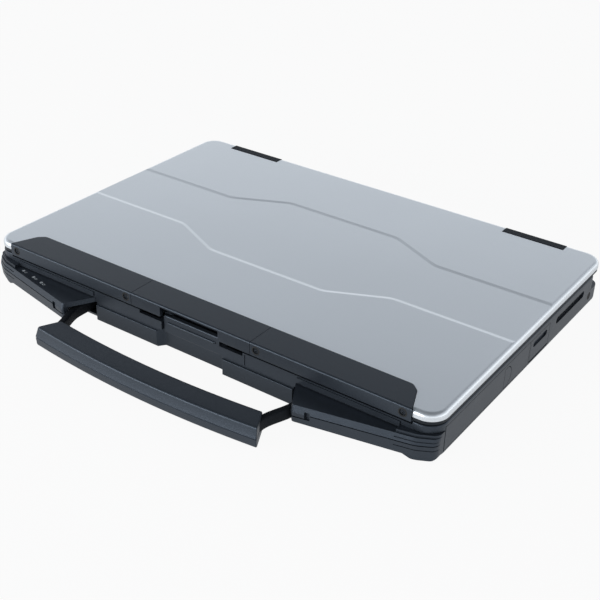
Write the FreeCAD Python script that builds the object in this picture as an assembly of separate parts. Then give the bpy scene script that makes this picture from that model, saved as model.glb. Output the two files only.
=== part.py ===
import FreeCAD, Part
import math
import os
from FreeCAD import Vector

# A rugged laptop computer, closed, with its carrying handle pulled out.
# Millimetres. The model is drawn with X to the user's right, Y from the lid's front edge towards the hinges
# and Z up from the table. save() then moves every piece, so that the origin is under the middle of the
# footprint.

# Overall sizes. A cutter runs past the face that it opens by OVERRUN, or by FAR_OVERRUN where
# parts stand proud of it, and a boss or rib is rooted by ROOT in the wall that carries it.
# ROUND_END is the share of half a width that rounds the ends of a long pad.
WIDTH = 345.0
LID_DEPTH = 233.5
CLOSED_HEIGHT = 33.0
FOOT_HEIGHT = 2.0
CORNER_RADIUS = 12.0
FIT_GAP = 0.3
SEAM = 0.1
OVERRUN = 1.0
FAR_OVERRUN = 5.0
ROOT = 1.0
ROUND_END = 0.9

# Lid
LID_THICKNESS = 7.0
LID_GAP = 0.8
COVER_HEIGHT = 4.8
COVER_WALL = 2.4
COVER_SKIN = 1.4
COVER_EDGE_RADIUS = 3.0
BAND_SINK = 0.3
BAND_SLOPE = 3.0
BAND_BEND_RADIUS = 16.0
BAND_SIDE_FRONT = 97.0
BAND_SIDE_REAR = 149.0
BAND_MIDDLE_FRONT = 78.0
BAND_MIDDLE_REAR = 168.3
BAND_OUTER_BEND = 86.0
BAND_INNER_BEND = 46.0
SCREEN_SIDE_BORDER = 17.5
SCREEN_REAR_BORDER = 34.5
SCREEN_FRONT = 24.0
SCREEN_LIP = 4.0
SCREEN_CORNER = 2.0
PANEL_CORNER = 1.0
COVER_HOLLOW_RADIUS = 6.0
GLASS_SINK = 0.4
GLASS_GAP = 0.2
PANEL_THICKNESS = 2.6
PAD_RADIUS = 4.0
PAD_HEIGHT = 0.5
PAD_INSET = 9.0

# Antenna covers along the lid's front edge
STRIP_FRONT_HALF = 156.5
STRIP_BEND_HALF = 149.5
STRIP_BEND_Y = 16.5
STRIP_REAR_HALF = 145.0
STRIP_DEPTH = 20.5
STRIP_OVERHANG = 1.0
STRIP_PROUD = 0.6
STRIP_SKIN = 1.8
STRIP_WALL = 2.4
STRIP_DROP = 1.1
STRIP_SHADOW = 1.6
STRIP_EDGE_RADIUS = 1.2
STRIP_SEAM_X = 47.0
STRIP_SEAM_GAP = 0.3
STRIP_SCREW_SEAM_GAP = 4.5
STRIP_SCREW_END_INSET = 5.5
STRIP_SCREW_RADIUS = 2.0
STRIP_SCREW_SINK = 0.3
STRIP_SCREW_SLOT = 0.6
STRIP_SCREW_SLOT_DEPTH = 0.5
STRIP_BEND_RADIUS = 4.0
STRIP_LOWER_RADIUS = 0.4
ANTENNA_LENGTH = 70.0
ANTENNA_DEPTH = 9.0
ANTENNA_THICKNESS = 1.0
ANTENNA_X = 62.0
ANTENNA_WALL_GAP = 3.0

# Camera
CAMERA_WIDTH = 18.0
CAMERA_DEPTH = 7.0
CAMERA_Y = 14.0
LENS_RADIUS = 2.6
SHUTTER_LENGTH = 9.0
SHUTTER_WIDTH = 7.4
SHUTTER_THICKNESS = 0.7
SHUTTER_TRAVEL = 8.0
SHUTTER_NUB_LENGTH = 2.0
SHUTTER_NUB_WIDTH = 4.0
SHUTTER_NUB_HEIGHT = 0.3

# Hinges
HINGE_INSET = 4.5
HINGE_SIDE_INSET = 27.0
HINGE_LENGTH = 46.0
KNUCKLE_RADIUS = 3.6
LID_KNUCKLE_LENGTH = 18.0
PIN_RADIUS = 1.5
PIN_FIT = 0.05
CAP_DEPTH = 8.6
CAP_THICKNESS = 1.9
CAP_PROUD = 0.2
CAP_REAR_INSET = 0.8
CAP_REAR_RADIUS = 1.2
CAP_FRONT_RADIUS = 0.8
LEAF_THICKNESS = 1.6
LEAF_CLEARANCE = 2.0
LEAF_END_GAP = 1.0
BRACKET_THICKNESS = 4.0
BRACKET_FOOT = 3.0

# Base cases
PARTING_Z = 15.0
DECK_THICKNESS = 2.2
FLOOR_THICKNESS = 2.2
CASE_WALL = 2.6
CASE_FRONT_STEP = 2.4
DECK_REAR_INSET = 10.5
CASE_REAR_INSET = 2.5
CASE_REAR_RADIUS = 8.0
CASE_BOTTOM_RADIUS = 4.0
LEDGE_THICKNESS = 2.0
DECK_EDGE_RADIUS = 1.0
GUARD_NOTCH_WIDTH = 14.5
GUARD_NOTCH_Y = 9.5
GUARD_NOTCH_Z = 20.5
RIM_NOTCH_HALF = 41.0
RIM_NOTCH_DROP = 4.2
PANEL_SEAM_X = 42.4
SKIRT_PROUD = 1.2
SKIRT_TOP = 13.5
SKIRT_REAR = 5.0
SKIRT_FLOOR = 2.0
SKIRT_EDGE = 1.0

# Front guards beside the handle
EAR_TOP = 18.3
EAR_BOTTOM = 6.9
EAR_INNER_REAR_X = 80.0
EAR_INNER_FRONT_X = 90.5
EAR_FRONT = 18.6
EAR_DRAFT = 1.3
EAR_MIDDLE = 14.0
EAR_FALL = 1.1
EAR_OUTER_INSET = 10.5
EAR_OUTER_FRONT = 3.4
EAR_CORNER_RADIUS = 16.0
EAR_SIDE_Y = 2.2
EAR_SIDE_RADIUS = 6.0
EAR_BOTTOM_GROW = 0.4
EAR_TIP_RADIUS = 2.0
CORNER_BLOCK_WIDTH = 22.5
CORNER_BLOCK_INSET = 1.0
HEEL_BOTTOM = 2.8
HEEL_RUN = 9.0
HEEL_RADIUS = 4.0
GROOVE_WIDTH = 0.6
GROOVE_DEPTH = 0.6
CORNER_GROOVES = (10.8, 16.2)
TAB_START = 98.5
TAB_END = 101.7
TAB_BOTTOM = 10.5
TAB_TOP = 15.7
TAB_LINE = 0.8
TAB_DEPTH = 2.2
TAB_LINE_RISE = 0.73
GROOVE_DRAFT = 0.91
RAIL_BOTTOM = 18.9
RAIL_TOP = 22.4
RAIL_PROUD = 0.8
LAMP_RADIUS = 1.1
LAMP_HEIGHT = 1.2
LAMP_PLACES = ((-142.9, -3.8), (-131.2, -5.8), (-121.5, -7.9))

# Handle, drawn out to its full reach
HANDLE_REACH = 52.0
HANDLE_TRAVEL = 27.0
GRIP_HALF_FRONT = 87.0
GRIP_HALF_REAR = 79.0
GRIP_BOW = 5.2
GRIP_REAR_BOW = 4.6
GRIP_BULGE = 1.6
GRIP_REAR = 30.6
GRIP_TOP = 15.5
GRIP_BOTTOM = 2.3
GRIP_PARTING = 8.5
GRIP_EDGE_RADIUS = 1.4
ARM_THICKNESS = 4.4
ARM_BOTTOM = 5.8
ARM_TOP = 13.8
ARM_X = 87.4
ARM_TAIL = 14.0
ARM_TONGUE_TOP = 11.5
CHANNEL_INNER_X = 78.6
CHANNEL_OUTER_X = 91.0
GUIDE_WALL = 1.4
GUIDE_END_GAP = 2.0
CHANNEL_MOUTH_INSET = 4.5
CHANNEL_MOUTH_FRONT = 22.0
CHANNEL_MOUTH_REAR = 11.0
ARM_TAIL_RADIUS = 0.5
ARM_BEND_RADIUS = 8.0
ARM_INNER_BEND = 12.5
ARM_OUTER_BEND = 14.0
ARM_ELBOW_RADIUS = 2.0
ARM_ELBOW_OFFSET = 0.6
ARM_NECK_SWAY = 1.6
ARM_NECK_LENGTH = 3.6
ARM_NECK_RADIUS = 4.0
ARM_HEEL_RADIUS = 3.0
ARM_INNER_ELBOW = 3.0
ARM_OUTER_ELBOW = 1.0
ARM_OUTER_DRAW = 0.4
TONGUE_LENGTH = 9.0
TONGUE_REACH = 8.0
GRIP_SCREW_RADIUS = 2.2
GRIP_SCREW_LENGTH = 3.0
GRIP_SCREW_PLACES = ((57.0, 9.0), (20.0, 10.0))

# Latch
LATCH_HALF = 22.0
LATCH_FRONT = 1.6
LATCH_THICKNESS = 2.8
LATCH_BOTTOM = 13.2
LATCH_TOP_DROP = 0.5
LATCH_SIDE_GAP = 0.9
LATCH_SWING_GAP = 0.9
LATCH_PIVOT_Y = 4.6
LATCH_PIVOT_Z = 16.6
LATCH_PIN_RADIUS = 1.0
LATCH_BOSS_RADIUS = 2.0
LATCH_HOUSING_WALL = 3.4
LATCH_HOUSING_DEPTH = 7.4
LATCH_HOUSING_INSET = 0.5
LATCH_PIN_INSET = 1.0
LATCH_LOWER_RADIUS = 0.8
LATCH_UPPER_RADIUS = 1.0
LATCH_RIB_Z = 20.8
LATCH_RIB_HEIGHT = 1.2
LATCH_RIB_PROUD = 0.5
LATCH_RIB_INSET = 3.0
RECESS_FLARE = 6.4
RECESS_DEPTH = 3.6
RECESS_RADIUS = 1.5
HOOK_X = 17.0
HOOK_HALF = 3.0
HOOK_THICKNESS = 2.0
HOOK_DROP = 5.0
HOOK_SLOT_GAP = 1.5

# Keyboard
KEY_PITCH = 19.0
KEY_ROW_PITCH = 18.2
KEY_TOP_ROW_PITCH = 13.0
KEY_GAP = 2.6
KEY_TAPER = 1.1
KEY_HEIGHT = 3.4
KEY_TRAVEL = 2.0
KEY_SINK = 0.4
KEY_STEM_RADIUS = 1.6
KEY_RADIUS = 1.4
KEYBOARD_FRONT = 107.0
KEYBOARD_BORDER = 2.0
KEYBOARD_CORNER = 3.0
TRAY_CORNER = 4.0
KEY_STEM_ROOT = 0.5
TRAY_THICKNESS = 1.2
TRAY_RIM = 1.6
KEY_ROWS = (
    (1.25, 1.0, 1.0, 1.25, 5.5, 1.25, 1.25, 1.0, 1.0, 1.0),
    (2.25,) + (1.0,) * 10 + (2.25, 1.0),
    (1.75,) + (1.0,) * 11 + (2.75,),
    (1.5,) + (1.0,) * 12 + (2.0,),
    (1.0,) * 13 + (2.5,),
)
TOP_ROW_KEYS = 16
SPACE_ROW = 0
SPACE_COLUMN = 4

# Touchpad, its buttons and the power button
TOUCHPAD_WIDTH = 104.0
TOUCHPAD_DEPTH = 56.0
TOUCHPAD_FRONT = 37.0
TOUCHPAD_SINK = 0.5
TOUCHPAD_FLANGE = 3.0
TOUCHPAD_CORNER = 2.0
TOUCHPAD_THICKNESS = 1.2
PAD_BUTTON_DEPTH = 14.0
PAD_BUTTON_GAP = 2.0
PAD_BUTTON_TRAVEL = 0.6
PAD_BUTTON_EDGE = 0.5
PAD_BUTTON_WELL = 1.0
POWER_STEM = 1.0
POWER_SIDE_INSET = 14.5
POWER_REAR_INSET = 19.5
POWER_LENGTH = 14.0
POWER_DEPTH = 7.0

# Side bays: battery on the right, drive module on the left
BAY_FRONT = 10.0
BAY_REAR = 118.0
BAY_TOP = 22.4
BAY_BOTTOM = 6.0
PACK_DEPTH = 76.0
PACK_FACE = 3.0
RUNNER_INSET = 12.0
RUNNER_WIDTH = 4.0
LOCK_FRONT = 83.6
LOCK_REAR = 92.6
LOCK_Z = 13.6
LOCK_HEIGHT = 13.2
LOCK_FRONT_RADIUS = 0.6
LOCK_REAR_RADIUS = 6.3
LOCK_THICKNESS = 2.0
LOCK_TRAVEL = 1.5
MODULE_MARK_Z = 14.6
EJECT_WIDTH = 9.0
EJECT_HEIGHT = 2.6
EJECT_REAR_INSET = 12.0
EJECT_RISE = 1.0
TRAY_LINE_INSET = 6.0
TRAY_LINE_FALL = 4.0
TRAY_LINE = 0.6
MARK_DEPTH = 0.6

# Right side: port door, vent and corner plug
DOOR_FRONT = 119.4
DOOR_REAR = 147.0
DOOR_TOP = 21.8
DOOR_PIVOT_Z = 7.6
DOOR_THICKNESS = 2.4
DOOR_PIN_RADIUS = 0.6
DOOR_PIN_LENGTH = 1.2
DOOR_SLOT_MARGIN = 3.6
DOOR_SLOT_RADIUS = 2.0
DOOR_SLOT_BOTTOM = 15.4
DOOR_SLOT_TOP = 19.6
DOOR_SLOT_DEPTH = 1.2
PORT_BLOCK_DEPTH = 9.0
PORT_SLOT_WIDTH = 9.5
PORT_SLOT_HEIGHT = 4.8
PORT_SLOT_DEPTH = 6.0
PORT_TONGUE = 2.0
PORT_TONGUE_INSET = 1.0
PORT_DOOR_GAP = 1.2
PORT_BLOCK_RISE = 4.0
PORT_FALL = 4.0
VENT_FRONT = 157.5
VENT_REAR = 203.0
VENT_BOTTOM = 15.6
VENT_TOP = 20.4
VENT_BARS = 9
VENT_BAR = 1.2
VENT_SINK = 1.6
VENT_RADIUS = 2.2
PLUG_REAR_INSET = 19.5
PLUG_Z = 11.0
PLUG_RADIUS = 2.6
INLET_REAR_INSET = 28.5
INLET_Z = 9.0
INLET_RADIUS = 4.0
INLET_BORE = 2.6
INLET_PIN = 0.8
INLET_LENGTH = 9.0
INLET_SINK = 0.4
INLET_PIN_SINK = 1.0
INLET_BACK = 1.0

# Inside the base
BOARD_THICKNESS = 1.6
BOARD_Z = 8.0
BOARD_SIDE_INSET = 22.5
BOARD_FAN_GAP = 3.0
BOARD_DEPTH = 82.0
BOARD_REAR_INSET = 27.5
BOSS_RADIUS = 3.2
BOSS_INSET = 8.0
BOSS_BORE = 1.3
FAN_SIDE_INSET = 42.5
FAN_REAR_INSET = 55.5
FAN_SIDE = 46.0
FAN_BOTTOM = 6.0
FAN_TOP = 15.0
FAN_WALL = 1.4
FAN_RADIUS = 19.5
FAN_HUB = 9.0
FAN_BLADES = 11
FAN_BLADE = 1.2
FAN_SHAFT = 1.2
FAN_TIP_GAP = 1.0
FAN_EYE_LIP = 4.0
FAN_SHAFT_GAP = 1.0
SINK_FINS = 14
SINK_FIN = 1.0
SINK_BASE = 0.8
SPREADER_SIDE = 34.0
SPREADER_THICKNESS = 3.0
SPREADER_EDGE_GAP = 22.0
PIPE_WIDTH = 7.0
PIPE_THICKNESS = 2.4
MEMORY_LENGTH = 67.0
MEMORY_WIDTH = 30.0
MEMORY_THICKNESS = 3.6
MEMORY_SIDE_GAP = 14.0
MEMORY_FRONT_GAP = 24.0
DRIVE_LENGTH = 80.0
DRIVE_WIDTH = 24.0
DRIVE_THICKNESS = 3.4
DRIVE_MEMORY_GAP = 10.0
DRIVE_FRONT_GAP = 4.0
SPEAKER_LENGTH = 30.0
SPEAKER_WIDTH = 16.0
SPEAKER_HEIGHT = 8.0
SPEAKER_PACK_GAP = 14.5
SPEAKER_SEAT_WIDTH = 4.0
SPEAKER_SEAT_HEIGHT = 0.5
SPEAKER_Y = 60.0

# Underside and rear
FOOT_LENGTH = 34.0
FOOT_WIDTH = 11.0
FOOT_SIDE_INSET = 40.5
FOOT_FRONT_Y = 18.0
FOOT_REAR_INSET = 19.5
SCREW_HEAD_RADIUS = 2.6
SCREW_HEAD_HEIGHT = 1.2
SCREW_RADIUS = 1.2
SCREW_LENGTH = 5.0
SCREW_END_GAP = 0.4
DOCK_LENGTH = 62.0
DOCK_WIDTH = 9.0
DOCK_Y = 150.0
DOCK_HEIGHT = 3.6
DOCK_SINK = 0.4
DOCK_STEM_END_INSET = 4.0
DOCK_STEM_SIDE_INSET = 2.0
REAR_COVER_LENGTH = 96.0
REAR_COVER_BOTTOM = 6.4
REAR_COVER_TOP = 12.4
REAR_COVER_THICKNESS = 1.6

# Levels and edges that follow from the sizes above
HALF = WIDTH / 2
SCREEN_WIDTH = WIDTH - 2 * SCREEN_SIDE_BORDER
SCREEN_DEPTH = LID_DEPTH - SCREEN_FRONT - SCREEN_REAR_BORDER
DECK_REAR = LID_DEPTH - DECK_REAR_INSET
CASE_REAR = LID_DEPTH - CASE_REAR_INSET
HINGE_X = HALF - HINGE_SIDE_INSET - HINGE_LENGTH
GUARD_NOTCH_X = HALF - GUARD_NOTCH_WIDTH
EAR_OUTER_X = HALF - EAR_OUTER_INSET
CORNER_BLOCK_X = HALF - CORNER_BLOCK_WIDTH
FAN_X = HALF - FAN_SIDE_INSET
FAN_Y = LID_DEPTH - FAN_REAR_INSET
BOARD_LEFT = -HALF + BOARD_SIDE_INSET
BOARD_RIGHT = FAN_X - FAN_SIDE / 2 - BOARD_FAN_GAP
BOARD_REAR = LID_DEPTH - BOARD_REAR_INSET
BOARD_FRONT = BOARD_REAR - BOARD_DEPTH
POWER_X = -HALF + POWER_SIDE_INSET
POWER_Y = LID_DEPTH - POWER_REAR_INSET
FOOT_X = HALF - FOOT_SIDE_INSET
FOOT_REAR_Y = LID_DEPTH - FOOT_REAR_INSET
PLUG_Y = LID_DEPTH - PLUG_REAR_INSET
INLET_Y = LID_DEPTH - INLET_REAR_INSET
LID_TOP = CLOSED_HEIGHT
LID_BOTTOM = LID_TOP - LID_THICKNESS
COVER_BOTTOM = LID_TOP - COVER_HEIGHT
SKIN_BOTTOM = LID_TOP - BAND_SINK - COVER_SKIN
DECK_TOP = LID_BOTTOM - LID_GAP
DECK_BOTTOM = DECK_TOP - DECK_THICKNESS
CASE_BOTTOM = FOOT_HEIGHT
FLOOR_TOP = CASE_BOTTOM + FLOOR_THICKNESS
HINGE_Y = LID_DEPTH - HINGE_INSET
HINGE_Z = LID_BOTTOM - LID_GAP / 2
STRIP_TOP = LID_TOP + STRIP_PROUD
STRIP_BOTTOM = LID_BOTTOM - STRIP_DROP
STRIP_SCREW_X = (STRIP_SEAM_X + STRIP_SCREW_SEAM_GAP, STRIP_FRONT_HALF - STRIP_SCREW_END_INSET)
STRIP_SCREW_Z = (STRIP_TOP + STRIP_BOTTOM) / 2
STRIP_SCREW_LENGTH = STRIP_WALL - STRIP_SCREW_SINK
LATCH_TOP = LID_BOTTOM - LATCH_TOP_DROP
LATCH_OPENING = LATCH_HALF + LATCH_SIDE_GAP
KEY_TOP = DECK_TOP - KEY_SINK
KEY_BOTTOM = KEY_TOP - KEY_HEIGHT
TRAY_TOP = KEY_BOTTOM - KEY_TRAVEL - FIT_GAP
TRAY_BOTTOM = TRAY_TOP - TRAY_THICKNESS
KEYBOARD_HALF = KEY_PITCH * sum(KEY_ROWS[0]) / 2 + KEYBOARD_BORDER
KEYBOARD_REAR = KEYBOARD_FRONT + len(KEY_ROWS) * KEY_ROW_PITCH + KEY_TOP_ROW_PITCH + 2 * KEYBOARD_BORDER
PAD_BUTTON_FRONT = TOUCHPAD_FRONT - PAD_BUTTON_DEPTH - PAD_BUTTON_GAP
PACK_INNER = HALF - PACK_DEPTH
SPEAKER_X = PACK_INNER - SPEAKER_PACK_GAP - SPEAKER_LENGTH / 2
SPEAKER_SEAT = FLOOR_TOP + SPEAKER_SEAT_HEIGHT
PACK_TOP = TRAY_BOTTOM - KEY_TRAVEL - FIT_GAP
SPREADER_X = BOARD_RIGHT - SPREADER_SIDE - SPREADER_EDGE_GAP
BOARD_TOP = BOARD_Z + BOARD_THICKNESS
FOOTPRINT_CENTRE_Y = (LID_DEPTH - HANDLE_REACH) / 2


# Shape helpers
def closed_wire(corners, place):
    """Closed wire through (u, v, radius) corners, each rounded by a tangent arc of its radius."""
    bends = []
    for index, (u, v, radius) in enumerate(corners):
        here = Vector(u, v, 0)
        before = Vector(*corners[index - 1][:2], 0) - here
        after = Vector(*corners[(index + 1) % len(corners)][:2], 0) - here
        before.normalize()
        after.normalize()
        half_angle = before.getAngle(after) / 2
        bisector = before + after
        bisector.normalize()
        reach = radius / math.tan(half_angle)
        middle = here + bisector * (radius / math.sin(half_angle) - radius)
        bends.append((here + before * reach, middle, here + after * reach, radius))
    edges = []
    for index, (start, middle, finish, radius) in enumerate(bends):
        if radius > 0:
            arc = Part.Arc(place(start.x, start.y), place(middle.x, middle.y), place(finish.x, finish.y))
            edges.append(arc.toShape())
        following = bends[(index + 1) % len(bends)][0]
        if finish.distanceToPoint(following) > 1e-6:
            edges.append(Part.makeLine(place(finish.x, finish.y), place(following.x, following.y)))
    return Part.Wire(edges)


def level_wire(corners, z):
    """Closed wire of (x, y, radius) corners at one height."""
    return closed_wire(corners, lambda x, y: Vector(x, y, z))


def plate(corners, bottom, top):
    """Upright solid over a closed outline of (x, y, radius) corners."""
    return Part.Face(level_wire(corners, bottom)).extrude(Vector(0, 0, top - bottom))


def bar_along_x(corners, start, end):
    """Solid with one (y, z, radius) section all along X."""
    wire = closed_wire(corners, lambda y, z: Vector(start, y, z))
    return Part.Face(wire).extrude(Vector(end - start, 0, 0))


def box(x0, y0, z0, x1, y1, z1):
    """Plain box between two corners."""
    return Part.makeBox(x1 - x0, y1 - y0, z1 - z0, Vector(x0, y0, z0))


def rectangle(x0, y0, x1, y1, radius):
    """Corners of a rounded rectangle."""
    return [(x0, y0, radius), (x1, y0, radius), (x1, y1, radius), (x0, y1, radius)]


def rod(radius, start, end):
    """Round bar between two points."""
    run = Vector(*end) - Vector(*start)
    return Part.makeCylinder(radius, run.Length, Vector(*start), run)


def join(*shapes):
    """One solid from touching shapes."""
    return shapes[0].fuse(list(shapes[1:])).removeSplitter()


def mirror(shape):
    """The same piece on the other side of the middle plane."""
    return shape.mirror(Vector(0, 0, 0), Vector(1, 0, 0))


def both_sides(shape):
    """A piece and its mirror image, as one group."""
    return Part.makeCompound([shape, mirror(shape)])


def round_level(shape, radius, z):
    """Round every edge that lies at one height."""
    edges = [
        e for e in shape.Edges if all(abs(v.Z - z) < 1e-4
        for v in e.Vertexes) and abs(e.CenterOfMass.z - z) < 1e-4
    ]
    return shape.makeFillet(radius, edges)


# Lid
def lid_outline(inset=0.0):
    """Rounded outline of the lid, drawn in by an inset."""
    half = HALF - inset
    return rectangle(-half, inset, half, LID_DEPTH - inset, CORNER_RADIUS - inset)


def strip_outline(grow=0.0, front=-STRIP_OVERHANG):
    """Plan of the three antenna covers together, its slanted ends carried on to the given front."""
    slant = (STRIP_FRONT_HALF - STRIP_BEND_HALF) / (STRIP_BEND_Y + STRIP_OVERHANG)
    right = [
        (STRIP_FRONT_HALF + grow - slant * (front + STRIP_OVERHANG), front, 0),
        (STRIP_BEND_HALF + grow, STRIP_BEND_Y + grow, STRIP_BEND_RADIUS),
        (STRIP_REAR_HALF + grow, STRIP_DEPTH + grow, STRIP_BEND_RADIUS),
    ]
    return right + [(-x, y, radius) for x, y, radius in reversed(right)]


def band_outline(spread):
    """Plan of the sunken band across the lid, grown by spread along Y."""
    beyond = HALF + FAR_OVERRUN
    bend = BAND_BEND_RADIUS
    front = [
        (-beyond, BAND_SIDE_FRONT - spread, 0),
        (-BAND_OUTER_BEND, BAND_SIDE_FRONT - spread, bend),
        (-BAND_INNER_BEND, BAND_MIDDLE_FRONT - spread, bend),
        (BAND_INNER_BEND, BAND_MIDDLE_FRONT - spread, bend),
        (BAND_OUTER_BEND, BAND_SIDE_FRONT - spread, bend),
        (beyond, BAND_SIDE_FRONT - spread, 0),
    ]
    rear = [
        (beyond, BAND_SIDE_REAR + spread, 0),
        (BAND_OUTER_BEND, BAND_SIDE_REAR + spread, bend),
        (BAND_INNER_BEND, BAND_MIDDLE_REAR + spread, bend),
        (-BAND_INNER_BEND, BAND_MIDDLE_REAR + spread, bend),
        (-BAND_OUTER_BEND, BAND_SIDE_REAR + spread, bend),
        (-beyond, BAND_SIDE_REAR + spread, 0),
    ]
    return front + rear


def hinge_notch(margin, front, bottom, top):
    """Cut-outs in the rear edge for both hinges."""
    cut = box(HINGE_X - margin, front, bottom, HINGE_X + HINGE_LENGTH + margin, LID_DEPTH + OVERRUN, top)
    return both_sides(cut)


def lid_back_cover():
    """Silver lid shell with its sunken band."""
    shell = round_level(plate(lid_outline(), COVER_BOTTOM, LID_TOP), COVER_EDGE_RADIUS, LID_TOP)
    sunk = LID_TOP - BAND_SINK
    band = Part.makeLoft(
        [level_wire(band_outline(0), sunk), level_wire(band_outline(BAND_SLOPE), LID_TOP)], True, True,
    )
    inner = HALF - COVER_WALL
    hollow_front = STRIP_DEPTH + FIT_GAP + COVER_WALL
    hollow = plate(
        rectangle(-inner, hollow_front, inner, LID_DEPTH - COVER_WALL, COVER_HOLLOW_RADIUS),
        COVER_BOTTOM - OVERRUN, SKIN_BOTTOM,
    )
    strip = plate(strip_outline(FIT_GAP, -FAR_OVERRUN), COVER_BOTTOM - OVERRUN, LID_TOP + OVERRUN)
    notch_front = LID_DEPTH - CAP_DEPTH - FIT_GAP
    notch = hinge_notch(FIT_GAP, notch_front, COVER_BOTTOM - OVERRUN, LID_TOP + OVERRUN)
    return shell.cut([band, hollow, strip, notch])


def lid_bezel():
    """Black frame round the screen, with a cut-out for the latch and a recess for the camera shutter."""
    frame = plate(lid_outline(FIT_GAP), LID_BOTTOM, COVER_BOTTOM)
    half = SCREEN_WIDTH / 2
    window = plate(
        rectangle(-half, SCREEN_FRONT, half, SCREEN_FRONT + SCREEN_DEPTH, SCREEN_CORNER),
        LID_BOTTOM - OVERRUN, COVER_BOTTOM + OVERRUN,
    )
    front = box(
        -STRIP_FRONT_HALF - SEAM, -FAR_OVERRUN, LID_BOTTOM - OVERRUN,
        STRIP_FRONT_HALF + SEAM, STRIP_WALL - STRIP_OVERHANG + SEAM, COVER_BOTTOM + OVERRUN,
    )
    latch = box(
        -LATCH_OPENING, -FAR_OVERRUN, LID_BOTTOM - OVERRUN,
        LATCH_OPENING, LATCH_HOUSING_DEPTH, COVER_BOTTOM + OVERRUN,
    )
    notch_front = HINGE_Y - KNUCKLE_RADIUS - 2 * FIT_GAP
    notch = hinge_notch(FIT_GAP, notch_front, LID_BOTTOM - OVERRUN, COVER_BOTTOM + OVERRUN)
    recess_half = SHUTTER_WIDTH / 2 + FIT_GAP
    recess_end = SHUTTER_LENGTH / 2 + FIT_GAP
    recess = box(
        -recess_end, CAMERA_Y - recess_half, LID_BOTTOM - OVERRUN,
        recess_end + SHUTTER_TRAVEL, CAMERA_Y + recess_half, LID_BOTTOM + SHUTTER_THICKNESS + SEAM,
    )
    lens = rod(LENS_RADIUS + SEAM, (0, CAMERA_Y, LID_BOTTOM - OVERRUN), (0, CAMERA_Y, COVER_BOTTOM + OVERRUN))
    return frame.cut([window, front, latch, notch, recess, lens])


def display_panel():
    """Screen module behind the bezel."""
    half = SCREEN_WIDTH / 2 + SCREEN_LIP
    rear = SCREEN_FRONT + SCREEN_DEPTH + SCREEN_LIP
    outline = rectangle(-half, SCREEN_FRONT - SCREEN_LIP + SEAM, half, rear, PANEL_CORNER)
    front = STRIP_DEPTH + FIT_GAP + COVER_WALL + SEAM
    trim = box(-half - OVERRUN, -FAR_OVERRUN, COVER_BOTTOM - OVERRUN, half + OVERRUN, front, LID_TOP)
    return plate(outline, COVER_BOTTOM, COVER_BOTTOM + PANEL_THICKNESS).cut(trim)


def screen_glass():
    """Cover glass in the bezel's window."""
    half = SCREEN_WIDTH / 2 - GLASS_GAP
    rear = SCREEN_FRONT + SCREEN_DEPTH - GLASS_GAP
    outline = rectangle(-half, SCREEN_FRONT + GLASS_GAP, half, rear, SCREEN_CORNER)
    return plate(outline, LID_BOTTOM + GLASS_SINK, COVER_BOTTOM)


def bezel_pads():
    """Small rubber pads that keep the screen off the deck."""
    rear = HINGE_Y - 3 * PAD_INSET
    places = [(HALF - PAD_INSET, SCREEN_FRONT), (HALF - PAD_INSET, rear)]
    pads = [rod(PAD_RADIUS, (x, y, LID_BOTTOM - PAD_HEIGHT), (x, y, LID_BOTTOM)) for x, y in places]
    return Part.makeCompound(pads + [mirror(pad) for pad in pads])


def antenna_covers():
    """Left, centre and right antenna covers, cut from one long strip."""
    wall = STRIP_WALL - STRIP_OVERHANG
    skin = STRIP_TOP - STRIP_SKIN
    section = [
        (-STRIP_OVERHANG, STRIP_BOTTOM, STRIP_LOWER_RADIUS),
        (wall, STRIP_BOTTOM, 0),
        (wall, skin, 0),
        (STRIP_DEPTH + FAR_OVERRUN, skin, 0),
        (STRIP_DEPTH + FAR_OVERRUN, STRIP_TOP, 0),
        (-STRIP_OVERHANG, STRIP_TOP, STRIP_EDGE_RADIUS),
    ]
    long_strip = bar_along_x(section, -HALF, HALF).common(
        plate(strip_outline(), STRIP_BOTTOM - OVERRUN, STRIP_TOP + OVERRUN),
    )
    for x in STRIP_SCREW_X:
        hole = rod(
            STRIP_SCREW_RADIUS + SEAM, (x, -STRIP_OVERHANG - OVERRUN, STRIP_SCREW_Z),
            (x, wall + OVERRUN, STRIP_SCREW_Z),
        )
        long_strip = long_strip.cut([hole, mirror(hole)])
    seam = STRIP_SEAM_X - STRIP_SEAM_GAP / 2
    side = long_strip.common(box(seam + STRIP_SEAM_GAP, -FAR_OVERRUN, 0, HALF, LID_DEPTH, LID_DEPTH))
    centre = long_strip.common(box(-seam, -FAR_OVERRUN, 0, seam, LID_DEPTH, LID_DEPTH))
    opening_rear = LATCH_HOUSING_DEPTH - SEAM
    opening = box(-LATCH_OPENING, -FAR_OVERRUN, 0, LATCH_OPENING, opening_rear, skin + SEAM)
    well_half = LATCH_OPENING + STRIP_SKIN
    well = box(-well_half, wall, COVER_BOTTOM + SEAM, well_half, LATCH_HOUSING_DEPTH + STRIP_SKIN, skin)
    centre = join(centre, well).cut(opening)
    return {"antenna_cover_left": mirror(side), "antenna_cover_centre": centre, "antenna_cover_right": side}


def antenna_cover_screws():
    """Four screws in the front face of the antenna covers."""
    front = -STRIP_OVERHANG + STRIP_SCREW_SINK
    screws = []
    for x in STRIP_SCREW_X:
        head = rod(
            STRIP_SCREW_RADIUS, (x, front, STRIP_SCREW_Z),
            (x, front + STRIP_SCREW_LENGTH, STRIP_SCREW_Z),
        )
        slot = box(
            x - STRIP_SCREW_RADIUS, front, STRIP_SCREW_Z - STRIP_SCREW_SLOT / 2,
            x + STRIP_SCREW_RADIUS, front + STRIP_SCREW_SLOT_DEPTH, STRIP_SCREW_Z + STRIP_SCREW_SLOT / 2,
        )
        screws.append(head.cut(slot))
    return Part.makeCompound(screws + [mirror(screw) for screw in screws])


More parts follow.
